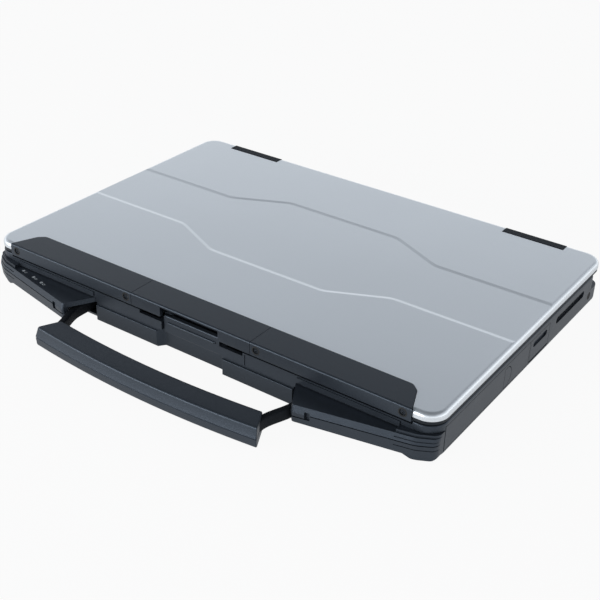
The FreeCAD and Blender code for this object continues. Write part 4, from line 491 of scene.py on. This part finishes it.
def grip_profile(parting, outer):
    """Section of one grip shell: insets from its front or rear edge, heights, and 1 for rear points.

    The front leans back towards the outer level, both outer edges are quarter circles, and both
    edges at the parting are drawn in a little, which leaves a line between the shells.
    """
    way = np.sign(outer - parting)
    lean = GRIP_LEAN if way > 0 else GRIP_LOWER_LEAN
    turn = quarter()
    front_in = lean + GRIP_EDGE * (1 - np.cos(turn))
    front_z = outer - way * GRIP_EDGE * (1 - np.sin(turn))
    rear_in = GRIP_REAR_EDGE * (1 - np.cos(turn))[::-1]
    rear_z = outer - way * GRIP_REAR_EDGE * (1 - np.sin(turn))[::-1]
    inset = np.concatenate([[GRIP_PART_INSET, 0.0], front_in, rear_in, [0.0, GRIP_PART_INSET]])
    near = parting + way * GRIP_PART_INSET
    height = np.concatenate([[parting, near], front_z, rear_z, [near, parting]])
    rear = np.concatenate([np.zeros(len(turn) + 2), np.ones(len(turn) + 2)])
    return inset, height, rear


def grip_rings(box, parting, outer):
    """A grip shell in metres: its section carried along X, with parabolic front and rear edges.

    At a share s of the half length, the front edge stands back by a bow times s squared from its
    middle and the rear edge comes forward by its own bow times 1 - s squared. The last rings draw
    the section in on a quarter circle, which rounds the ends.
    """
    low, high = np.array(box) / MM
    inset, height, rear = grip_profile(parting, outer)
    turn = quarter()[1:]
    inner = np.linspace(-1.0, 1.0, GRIP_STATIONS)
    still = np.zeros(GRIP_STATIONS)
    draw = GRIP_END_EDGE * np.concatenate([(1 - np.cos(turn))[::-1], still, 1 - np.cos(turn)])
    out = GRIP_END_EDGE * np.concatenate([-np.sin(turn)[::-1], still, np.sin(turn)])
    share = np.concatenate([np.full(len(turn), -1.0), inner, np.full(len(turn), 1.0)])[:, None]
    inset = inset[None, :] + draw[:, None]
    middle = height.mean()
    height = middle + (height[None, :] - middle) * (1 - draw[:, None] / (high[2] - low[2]))
    front_y = low[1] + GRIP_FRONT_BOW * share ** 2
    rear_y = high[1] - GRIP_REAR_BOW * (1 - share ** 2)
    y = np.where(rear > 0, rear_y - inset, front_y + inset)
    half = high[0] - GRIP_END_EDGE
    back = (y - front_y) / (rear_y - front_y)
    x = share * half * (1 + (GRIP_REAR_SHARE - 1) * back) + out[:, None]
    return np.stack([x, y, height], axis=-1) * MM


def arm_rings(box, side):
    """An arm in metres: a rounded bar carried along an S in plan, from inside the base into the grip.

    Along the path the bar sways towards the middle by a smooth step, 3 t squared - 2 t cubed.
    """
    low, high = np.array(box) / MM
    share = np.linspace(0.0, 1.0, ARM_STATIONS)
    y = high[1] + (low[1] + ARM_TONGUE_INSET - high[1]) * share
    step = np.clip((share - ARM_SWAY_START) / (ARM_SWAY_END - ARM_SWAY_START), 0.0, 1.0)
    outer = max(abs(low[0]), abs(high[0])) - ARM_HALF
    x = outer - ARM_SWAY * (3 * step ** 2 - 2 * step ** 3)
    along = np.stack([np.gradient(x), np.gradient(y)], axis=-1)
    along /= np.linalg.norm(along, axis=1, keepdims=True)
    turn = whole_turn(ARM_TURN_STEPS) + np.pi / ARM_TURN_STEPS
    across = np.sign(np.cos(turn)) * (ARM_HALF - ARM_EDGE) + ARM_EDGE * np.cos(turn)
    half_height = (high[2] - low[2]) / 2
    up = np.sign(np.sin(turn)) * (half_height - ARM_EDGE) + ARM_EDGE * np.sin(turn)
    ring_x = side * (x[:, None] - along[:, 1:] * across)
    ring_y = y[:, None] + along[:, :1] * across
    ring_z = np.broadcast_to((low[2] + high[2]) / 2 + up, ring_x.shape)
    return np.stack([ring_x, ring_y, ring_z], axis=-1) * MM


def screw_head(x, y, z):
    """Points and faces of a cross-slotted screw head that faces the user, in metres.

    Over a radius r and an angle a, the head stands back from its middle by a dome, r squared over
    twice its dome radius, and by the cross, a smooth trench along each of two arms.
    """
    radius = np.linspace(0.0, SCREW_RADIUS, SCREW_RINGS + 1)[1:]
    radius, angle = np.meshgrid(radius, whole_turn(SCREW_TURN_STEPS), indexing="ij")
    across = radius * np.cos(angle)
    up = radius * np.sin(angle)
    nearest = np.minimum(np.abs(across), np.abs(up))
    reach = np.maximum(np.abs(across), np.abs(up))
    trench = 1 / (1 + np.exp((nearest - CROSS_HALF) / CROSS_EDGE))
    trench *= 1 / (1 + np.exp((reach - CROSS_REACH) / CROSS_EDGE))
    back = radius ** 2 / (2 * SCREW_DOME) + CROSS_DEPTH * trench
    face = np.stack([x + across, y + back, z + up], axis=-1)
    rim = face[-1:] + np.array([0.0, SCREW_THICKNESS, 0.0])
    points, faces = tube(np.concatenate([face, rim]))
    points[-2] = [x, y + CROSS_DEPTH, z]
    return np.array(points) * MM, faces


def screw_seat(x, y, z):
    """Points and faces of the dark matt ring round a screw, whose section is half a wave."""
    share = np.linspace(0.0, 1.0, SEAT_RINGS)
    radius = SEAT_INNER + (SEAT_OUTER - SEAT_INNER) * share
    front = y - SEAT_PROUD * np.sin(np.pi * share)
    turn = whole_turn(TURN_STEPS)
    rings = np.stack([
        x + np.outer(radius, np.cos(turn)),
        np.broadcast_to(front[:, None], (len(share), len(turn))),
        z + np.outer(radius, np.sin(turn)),
    ], axis=-1)
    return rings.reshape(-1, 3) * MM, ring_faces(*rings.shape[:2])


def lamp_mark(x, y, z, half_width, half_depth, squareness):
    """Points and faces of a printed outline: a ring between two superellipses, raised by half a wave.

    At an angle a, the outline stands at the half sizes times the cosine and the sine of a, each to
    the power 2 over the squareness, which is 2 for an ellipse and more for a box.
    """
    turn = whole_turn(TURN_STEPS)
    power = 2.0 / squareness
    across = np.sign(np.cos(turn)) * np.abs(np.cos(turn)) ** power
    along = np.sign(np.sin(turn)) * np.abs(np.sin(turn)) ** power
    share = np.linspace(0.0, 1.0, MARK_RINGS)
    height = z + PRINT_THICKNESS * np.sin(np.pi * share)
    rings = np.stack([
        x + np.outer(half_width - MARK_LINE * share, across),
        y + np.outer(half_depth - MARK_LINE * share, along),
        np.broadcast_to(height[:, None], (len(share), len(turn))),
    ], axis=-1)
    return rings.reshape(-1, 3) * MM, ring_faces(*rings.shape[:2])


def rib_rings(y):
    """The round crest of the latch's rib in metres: circles along X, drawn in at both ends.

    Past the last radius from an end, the circles close on a quarter circle.
    """
    share = np.linspace(-1.0, 1.0, RIB_STATIONS)
    past = (np.abs(share) * RIB_HALF - (RIB_HALF - RIB_RADIUS)) / RIB_RADIUS
    past = np.clip(past, 0.0, RIB_END_CLOSE)
    radius = RIB_RADIUS * np.sqrt(1 - past ** 2)
    turn = whole_turn(RIB_TURN_STEPS)
    return np.stack([
        np.broadcast_to((share * RIB_HALF)[:, None], (len(share), len(turn))),
        y + np.outer(radius, np.cos(turn)),
        RIB_HEIGHT + np.outer(radius, np.sin(turn)),
    ], axis=-1) * MM


def legend_mesh(text, size, x, y, z):
    """Points and faces of a printed word, centred on a place in metres."""
    curve = bpy.data.curves.new("legend", "FONT")
    curve.body = text
    curve.size = size
    curve.align_x = "CENTER"
    curve.align_y = "CENTER"
    curve.extrude = PRINT_THICKNESS * MM
    curve.resolution_u = LETTER_STEPS
    word = bpy.data.objects.new("legend", curve)
    flat = bpy.data.meshes.new_from_object(word)
    points = np.empty(len(flat.vertices) * 3)
    flat.vertices.foreach_get("co", points)
    faces = [tuple(face.vertices) for face in flat.polygons]
    bpy.data.objects.remove(word)
    bpy.data.curves.remove(curve)
    bpy.data.meshes.remove(flat)
    return points.reshape(-1, 3) + np.array([x, y, z]), faces


def gather(parts):
    """One list of points and one of faces from several."""
    points = []
    faces = []
    count = 0
    for part_points, part_faces in parts:
        points.append(part_points)
        faces += [tuple(index + count for index in face) for face in part_faces]
        count += len(part_points)
    return np.concatenate(points).tolist(), faces


def colour_property(name, description, default):
    """A colour that the user can change."""
    return bpy.props.FloatVectorProperty(
        name=name, description=description, default=default, size=3, min=0.0, max=1.0, subtype="COLOR"
    )


class LaptopLooks(bpy.types.PropertyGroup):
    """Colours of the finishes, one to each record slot."""

    lid_paint: colour_property("Lid paint", "Satin silver of the lid's cover", (0.875, 0.92, 0.965))
    case_plastic: colour_property("Case plastic", "Blue-black plastic of the case", (0.017, 0.0205, 0.026))
    dark_plastic: colour_property("Dark plastic", "Plain black of the inner frames", (0.012, 0.013, 0.014))
    key_plastic: colour_property("Key plastic", "Soft black of the keys", (0.016, 0.017, 0.018))
    rubber: colour_property("Rubber", "Feet, pads and the corner plug", (0.012, 0.012, 0.012))
    steel: colour_property("Steel", "Screws, pins and hinge leaves", (0.32, 0.33, 0.34))
    black_steel: colour_property("Black steel", "Coated arms and screws", (0.012, 0.013, 0.015))
    screen: colour_property("Screen", "The display when it is off", (0.006, 0.007, 0.009))
    circuit_board: colour_property("Circuit board", "Solder mask of the boards", (0.01, 0.08, 0.04))
    copper: colour_property("Copper", "The heat sink", (0.72, 0.36, 0.2))
    lamp: colour_property("Lamp lens", "Indicator windows when off", (0.62, 0.66, 0.68))


class LaptopStudio(bpy.types.PropertyGroup):
    """The camera's lens and the studio lights."""

    focal_length: bpy.props.FloatProperty(
        name="Focal length", description="Lens that gives the photograph's view",
        default=64.77, unit="CAMERA",
    )
    front_power: bpy.props.FloatProperty(
        name="Front light", description="Power of the low light before the laptop",
        default=7.0, min=0.0, unit="POWER",
    )
    side_power: bpy.props.FloatProperty(
        name="Side light", description="Power of the light to the right",
        default=0.9, min=0.0, unit="POWER",
    )
    surround: bpy.props.FloatProperty(
        name="Surround", description="Brightness of the room", default=1.5, min=0.0, subtype="FACTOR",
    )


class PaintedGroup:
    """Paints a group of like solids and rounds their sharp edges.

    The finish is that of each solid's own slot, unless the group names one. The rounding is in
    millimetres.
    """

    nodes = ()
    finish = None
    rounding = 0.0

    def execute(self, context):
        repaint(*self.nodes, finish=self.finish)
        if self.rounding:
            soften(self.rounding * MM, *self.nodes)
        return {"FINISHED"}


class LAPTOP_OT_lid(PaintedGroup, bpy.types.Operator):
    """Paint the lid's silver cover, bezel and rubber pads"""

    bl_idname = "laptop.lid"
    bl_label = "Paint the lid"
    nodes = ("lid_back_cover", "lid_bezel", "bezel_pads")


class LAPTOP_OT_display(PaintedGroup, bpy.types.Operator):
    """Paint the display, its glass and the camera with its sliding cover"""

    bl_idname = "laptop.display"
    bl_label = "Paint the display"
    nodes = ("display_panel", "screen_glass", "camera_module", "camera_shutter")


class LAPTOP_OT_strip(PaintedGroup, bpy.types.Operator):
    """Paint the antenna covers along the lid's front edge and the circuits under them"""

    bl_idname = "laptop.strip"
    bl_label = "Paint the antenna covers"
    nodes = (
        "antenna_cover_left", "antenna_cover_centre", "antenna_cover_right", "antenna_boards",
    )
    rounding = 0.15


class LAPTOP_OT_hinges(PaintedGroup, bpy.types.Operator):
    """Paint the leaves and pins of the hinges"""

    bl_idname = "laptop.hinges"
    bl_label = "Paint the hinges"
    nodes = (
        "hinge_lid_leaf_left", "hinge_lid_leaf_right", "hinge_base_leaf_left", "hinge_base_leaf_right",
        "hinge_pins",
    )


class LAPTOP_OT_hinge_caps(PaintedGroup, bpy.types.Operator):
    """Paint the matt caps over the hinges"""

    bl_idname = "laptop.hinge_caps"
    bl_label = "Paint the hinge caps"
    nodes = ("hinge_cap_left", "hinge_cap_right")
    finish = "matt_plastic"
    rounding = 0.5


class LAPTOP_OT_cases(PaintedGroup, bpy.types.Operator):
    """Paint the two halves of the base and the guards beside the handle"""

    bl_idname = "laptop.cases"
    bl_label = "Paint the cases"
    nodes = ("upper_case", "lower_case", "front_guard_left", "front_guard_right")
    rounding = 0.35


class LAPTOP_OT_latch(PaintedGroup, bpy.types.Operator):
    """Paint the latch lever, its pin and the hooks"""

    bl_idname = "laptop.latch"
    bl_label = "Paint the latch"
    nodes = ("latch_lever", "latch_pin", "latch_hooks")
    rounding = 0.2


class LAPTOP_OT_keyboard(PaintedGroup, bpy.types.Operator):
    """Paint the keys and the tray under them"""

    bl_idname = "laptop.keyboard"
    bl_label = "Paint the keyboard"
    nodes = ("keycaps", "space_bar", "keyboard_tray")


class LAPTOP_OT_pad(PaintedGroup, bpy.types.Operator):
    """Paint the touchpad, its buttons and the power button"""

    bl_idname = "laptop.pad"
    bl_label = "Paint the touchpad"
    nodes = ("touchpad", "touchpad_button_left", "touchpad_button_right", "power_button")


class LAPTOP_OT_bays(PaintedGroup, bpy.types.Operator):
    """Paint the battery, its release button and the drive module"""

    bl_idname = "laptop.bays"
    bl_label = "Paint the bays"
    nodes = ("battery_pack", "battery_lock", "drive_module")
    rounding = 0.2


class LAPTOP_OT_ports(PaintedGroup, bpy.types.Operator):
    """Paint the port door, the sockets, the vent, the plugs and the lamps"""

    bl_idname = "laptop.ports"
    bl_label = "Paint the ports"
    nodes = (
        "right_port_door", "right_port_block", "vent_grille", "corner_plug", "power_inlet",
        "rear_blank_cover", "indicator_lenses",
    )


class LAPTOP_OT_inside(PaintedGroup, bpy.types.Operator):
    """Paint the boards, the cooling and the speakers inside the base"""

    bl_idname = "laptop.inside"
    bl_label = "Paint the inside"
    nodes = (
        "mainboard", "memory_module", "storage_drive", "heat_sink", "fan_housing", "fan_rotor",
        "speakers",
    )


class LAPTOP_OT_underside(PaintedGroup, bpy.types.Operator):
    """Paint the feet, the screws and the docking connector"""

    bl_idname = "laptop.underside"
    bl_label = "Paint the underside"
    nodes = ("feet", "case_screws", "dock_connector")


class LAPTOP_OT_handle(bpy.types.Operator):
    """Model the grip's two shells and the two arms of the carrying handle"""

    bl_idname = "laptop.handle"
    bl_label = "Model the handle"

    def execute(self, context):
        repaint("handle_grip_upper", "handle_grip_lower", "handle_screws")
        repaint("handle_arm_left", "handle_arm_right")
        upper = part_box("handle_grip_upper")
        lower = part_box("handle_grip_lower")
        parting = upper[0][2] / MM
        shells = {
            "handle_grip_upper": grip_rings(upper, parting, upper[1][2] / MM),
            "handle_grip_lower": grip_rings(lower, parting, lower[0][2] / MM),
        }
        for node, rings in shells.items():
            piece = mesh_piece(f"{node}_shape", *tube(rings), "charcoal_plastic", "handle")
            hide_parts(node)
        for node, side in (("handle_arm_left", -1), ("handle_arm_right", 1)):
            bar = tube(arm_rings(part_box(node), side))
            piece = mesh_piece(f"{node}_shape", *bar, "black_steel", "handle", finish="matt_coating")
            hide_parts(node)
        return {"FINISHED"}


class LAPTOP_OT_screws(bpy.types.Operator):
    """Model the four cross-slotted screws along the lid's front edge and a dark matt ring round each"""

    bl_idname = "laptop.screws"
    bl_label = "Model the screws"

    def execute(self, context):
        repaint("antenna_cover_screws")
        low, high = np.array(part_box("antenna_cover_screws")) / MM
        z = (low[2] + high[2]) / 2
        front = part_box("antenna_cover_right")[0][1] / MM
        places = [side * x for x in SCREW_X for side in (-1, 1)]
        domes = gather([screw_head(x, low[1], z) for x in places])
        heads = mesh_piece("strip_screw_heads", *domes, "black_steel", "lid")
        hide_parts("antenna_cover_screws")
        seats = gather([screw_seat(x, front, z) for x in places])
        mesh_piece("strip_screw_seats", *seats, "rubber", "lid")
        return {"FINISHED"}


class LAPTOP_OT_latch_rib(bpy.types.Operator):
    """Model the round crest of the rib across the latch lever"""

    bl_idname = "laptop.latch_rib"
    bl_label = "Model the latch rib"

    def execute(self, context):
        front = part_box("latch_lever")[0][1] / MM
        crest = tube(rib_rings(front - RIB_PROUD + RIB_RADIUS))
        mesh_piece("latch_rib_crest", *crest, "charcoal_plastic", "latch")
        return {"FINISHED"}


class LAPTOP_OT_lamp_marks(bpy.types.Operator):
    """Print the marks beside the lamps on the left guard"""

    bl_idname = "laptop.lamp_marks"
    bl_label = "Print the lamp marks"

    def execute(self, context):
        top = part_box("indicator_lenses")[1][2] / MM
        marks = [lamp_mark(x, y, top, *shape) for x, y, *shape in LAMP_MARKS]
        mesh_piece("lamp_marks", *gather(marks), "lamp", "base")
        return {"FINISHED"}


class LAPTOP_OT_legends(bpy.types.Operator):
    """Print the legends on the keys"""

    bl_idname = "laptop.legends"
    bl_label = "Print the key legends"

    def execute(self, context):
        low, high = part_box("keycaps")
        left = low[0] - KEY_GAP / 2 * MM
        front = low[1] - KEY_GAP / 2 * MM
        top = high[2]
        words = []
        for row, keys in enumerate(KEY_ROWS):
            pitch = KEY_ROW_PITCH if row < len(KEY_ROWS) - 1 else KEY_TOP_ROW_PITCH
            y = front + (row * KEY_ROW_PITCH + pitch / 2) * MM
            x = left
            for width, text in keys:
                size = LETTER_SIZE if len(text) == 1 else WORD_SIZE
                middle = x + width * KEY_PITCH / 2 * MM
                if text:
                    words.append(legend_mesh(text, size * MM, middle, y, top))
                x += width * KEY_PITCH * MM
        mesh_piece("key_legends", *gather(words), "lamp", "keys")
        return {"FINISHED"}


def area_light(name, box, power):
    """A soft box of that power at its place, facing its target."""
    place, target, width, height = box
    lamp = bpy.data.lights.new(name, "AREA")
    lamp.shape = "RECTANGLE"
    lamp.size = width
    lamp.size_y = height
    lamp.energy = power
    light = bpy.data.objects.new(name, lamp)
    light.location = place
    light.rotation_euler = (Vector(target) - Vector(place)).to_track_quat("-Z", "Y").to_euler()
    bpy.context.scene.collection.objects.link(light)


class LAPTOP_OT_stage(bpy.types.Operator):
    """Set the floor, the white surround, the soft lights and the camera"""

    bl_idname = "laptop.stage"
    bl_label = "Set the stage"

    def execute(self, context):
        studio = context.scene.laptop_studio
        self.add_floor()
        self.add_world(studio.surround)
        area_light("front_light", FRONT_LIGHT, studio.front_power)
        area_light("side_light", SIDE_LIGHT, studio.side_power)
        self.add_camera(studio.focal_length)
        context.scene.view_settings.view_transform = "Standard"
        return {"FINISHED"}

    def add_floor(self):
        """A pale floor that turns to white for the camera and keeps the laptop's shadow."""
        corners = np.array([[-1, -1, 0], [1, -1, 0], [1, 1, 0], [-1, 1, 0]]) * FLOOR_HALF
        mesh = bpy.data.meshes.new("floor")
        mesh.from_pydata(corners.tolist(), [], [(0, 1, 2, 3)])
        floor = bpy.data.objects.new("floor", mesh)
        bpy.context.scene.collection.objects.link(floor)
        finish = Finish("pale_floor")
        path = finish.node("ShaderNodeLightPath").outputs
        seen = sum(Value(finish, path[kind]) * share for kind, share in FLOOR_WHITE_SHARES.items())
        diffuse = finish.node("ShaderNodeBsdfDiffuse", {}, {"Color": (*[FLOOR_GREY] * 3, 1.0)})
        white = finish.node("ShaderNodeEmission", {}, {"Color": (1.0, 1.0, 1.0, 1.0), "Strength": 1.0})
        sockets = {0: seen, 1: diffuse.outputs[0], 2: white.outputs[0]}
        finish.close(finish.node("ShaderNodeMixShader", {}, sockets))
        mesh.materials.append(finish.material)

    def add_world(self, surround):
        """A round white room: bright along the horizon, darker overhead."""
        world = bpy.data.worlds.new("white_room")
        room = Tree(world, "ShaderNodeOutputWorld")
        direction = room.node("ShaderNodeTexCoord").outputs["Generated"]
        height = room.node("ShaderNodeSeparateXYZ", {}, {0: direction}).outputs["Z"]
        ramp = room.node("ShaderNodeValToRGB", {}, {"Fac": height})
        stops = ramp.color_ramp.elements
        while len(stops) < len(ROOM_STOPS):
            stops.new(1.0)
        for stop, (position, colour) in zip(stops, ROOM_STOPS):
            stop.position = position
            stop.color = (*colour, 1.0)
        sockets = {"Color": ramp.outputs["Color"], "Strength": surround}
        room.close(room.node("ShaderNodeBackground", {}, sockets))
        bpy.context.scene.world = world

    def add_camera(self, focal_length):
        """The photograph's camera, from its place and the directions of its right, up and back."""
        lens = bpy.data.cameras.new("photo_camera")
        lens.sensor_width = SENSOR_WIDTH
        lens.lens = focal_length
        camera = bpy.data.objects.new("photo_camera", lens)
        turn = Matrix((CAMERA_RIGHT, CAMERA_UP, CAMERA_BACK)).transposed()
        camera.matrix_world = Matrix.Translation(CAMERA_PLACE) @ turn.to_4x4()
        bpy.context.scene.collection.objects.link(camera)
        bpy.context.scene.camera = camera


class LAPTOP_PT_panel(bpy.types.Panel):
    """Lists the finishes' colours, the studio's values and the laptop's operators"""

    bl_label = "Laptop"
    bl_idname = "LAPTOP_PT_panel"
    bl_space_type = "VIEW_3D"
    bl_region_type = "UI"
    bl_category = "Laptop"

    def draw(self, context):
        for group in (context.scene.laptop_looks, context.scene.laptop_studio):
            for name in group.__annotations__:
                self.layout.prop(group, name)
        for operator in OPERATORS:
            self.layout.operator(operator.bl_idname)


GROUPS = {"laptop_looks": LaptopLooks, "laptop_studio": LaptopStudio}
OPERATORS = (
    LAPTOP_OT_lid, LAPTOP_OT_display, LAPTOP_OT_strip, LAPTOP_OT_hinges, LAPTOP_OT_hinge_caps,
    LAPTOP_OT_cases, LAPTOP_OT_latch, LAPTOP_OT_keyboard, LAPTOP_OT_pad, LAPTOP_OT_bays,
    LAPTOP_OT_ports, LAPTOP_OT_inside, LAPTOP_OT_underside, LAPTOP_OT_handle, LAPTOP_OT_screws,
    LAPTOP_OT_latch_rib, LAPTOP_OT_lamp_marks, LAPTOP_OT_legends, LAPTOP_OT_stage,
)


def register():
    for name, group in GROUPS.items():
        bpy.utils.register_class(group)
        setattr(bpy.types.Scene, name, bpy.props.PointerProperty(type=group))
    for operator in OPERATORS:
        bpy.utils.register_class(operator)
    bpy.utils.register_class(LAPTOP_PT_panel)


def unregister():
    bpy.utils.unregister_class(LAPTOP_PT_panel)
    for operator in reversed(OPERATORS):
        bpy.utils.unregister_class(operator)
    for name, group in GROUPS.items():
        delattr(bpy.types.Scene, name)
        bpy.utils.unregister_class(group)


def main():
    register()
    for operator in OPERATORS:
        family, name = operator.bl_idname.split(".")
        getattr(getattr(bpy.ops, family), name)()


if __name__ == "__main__":
    main()
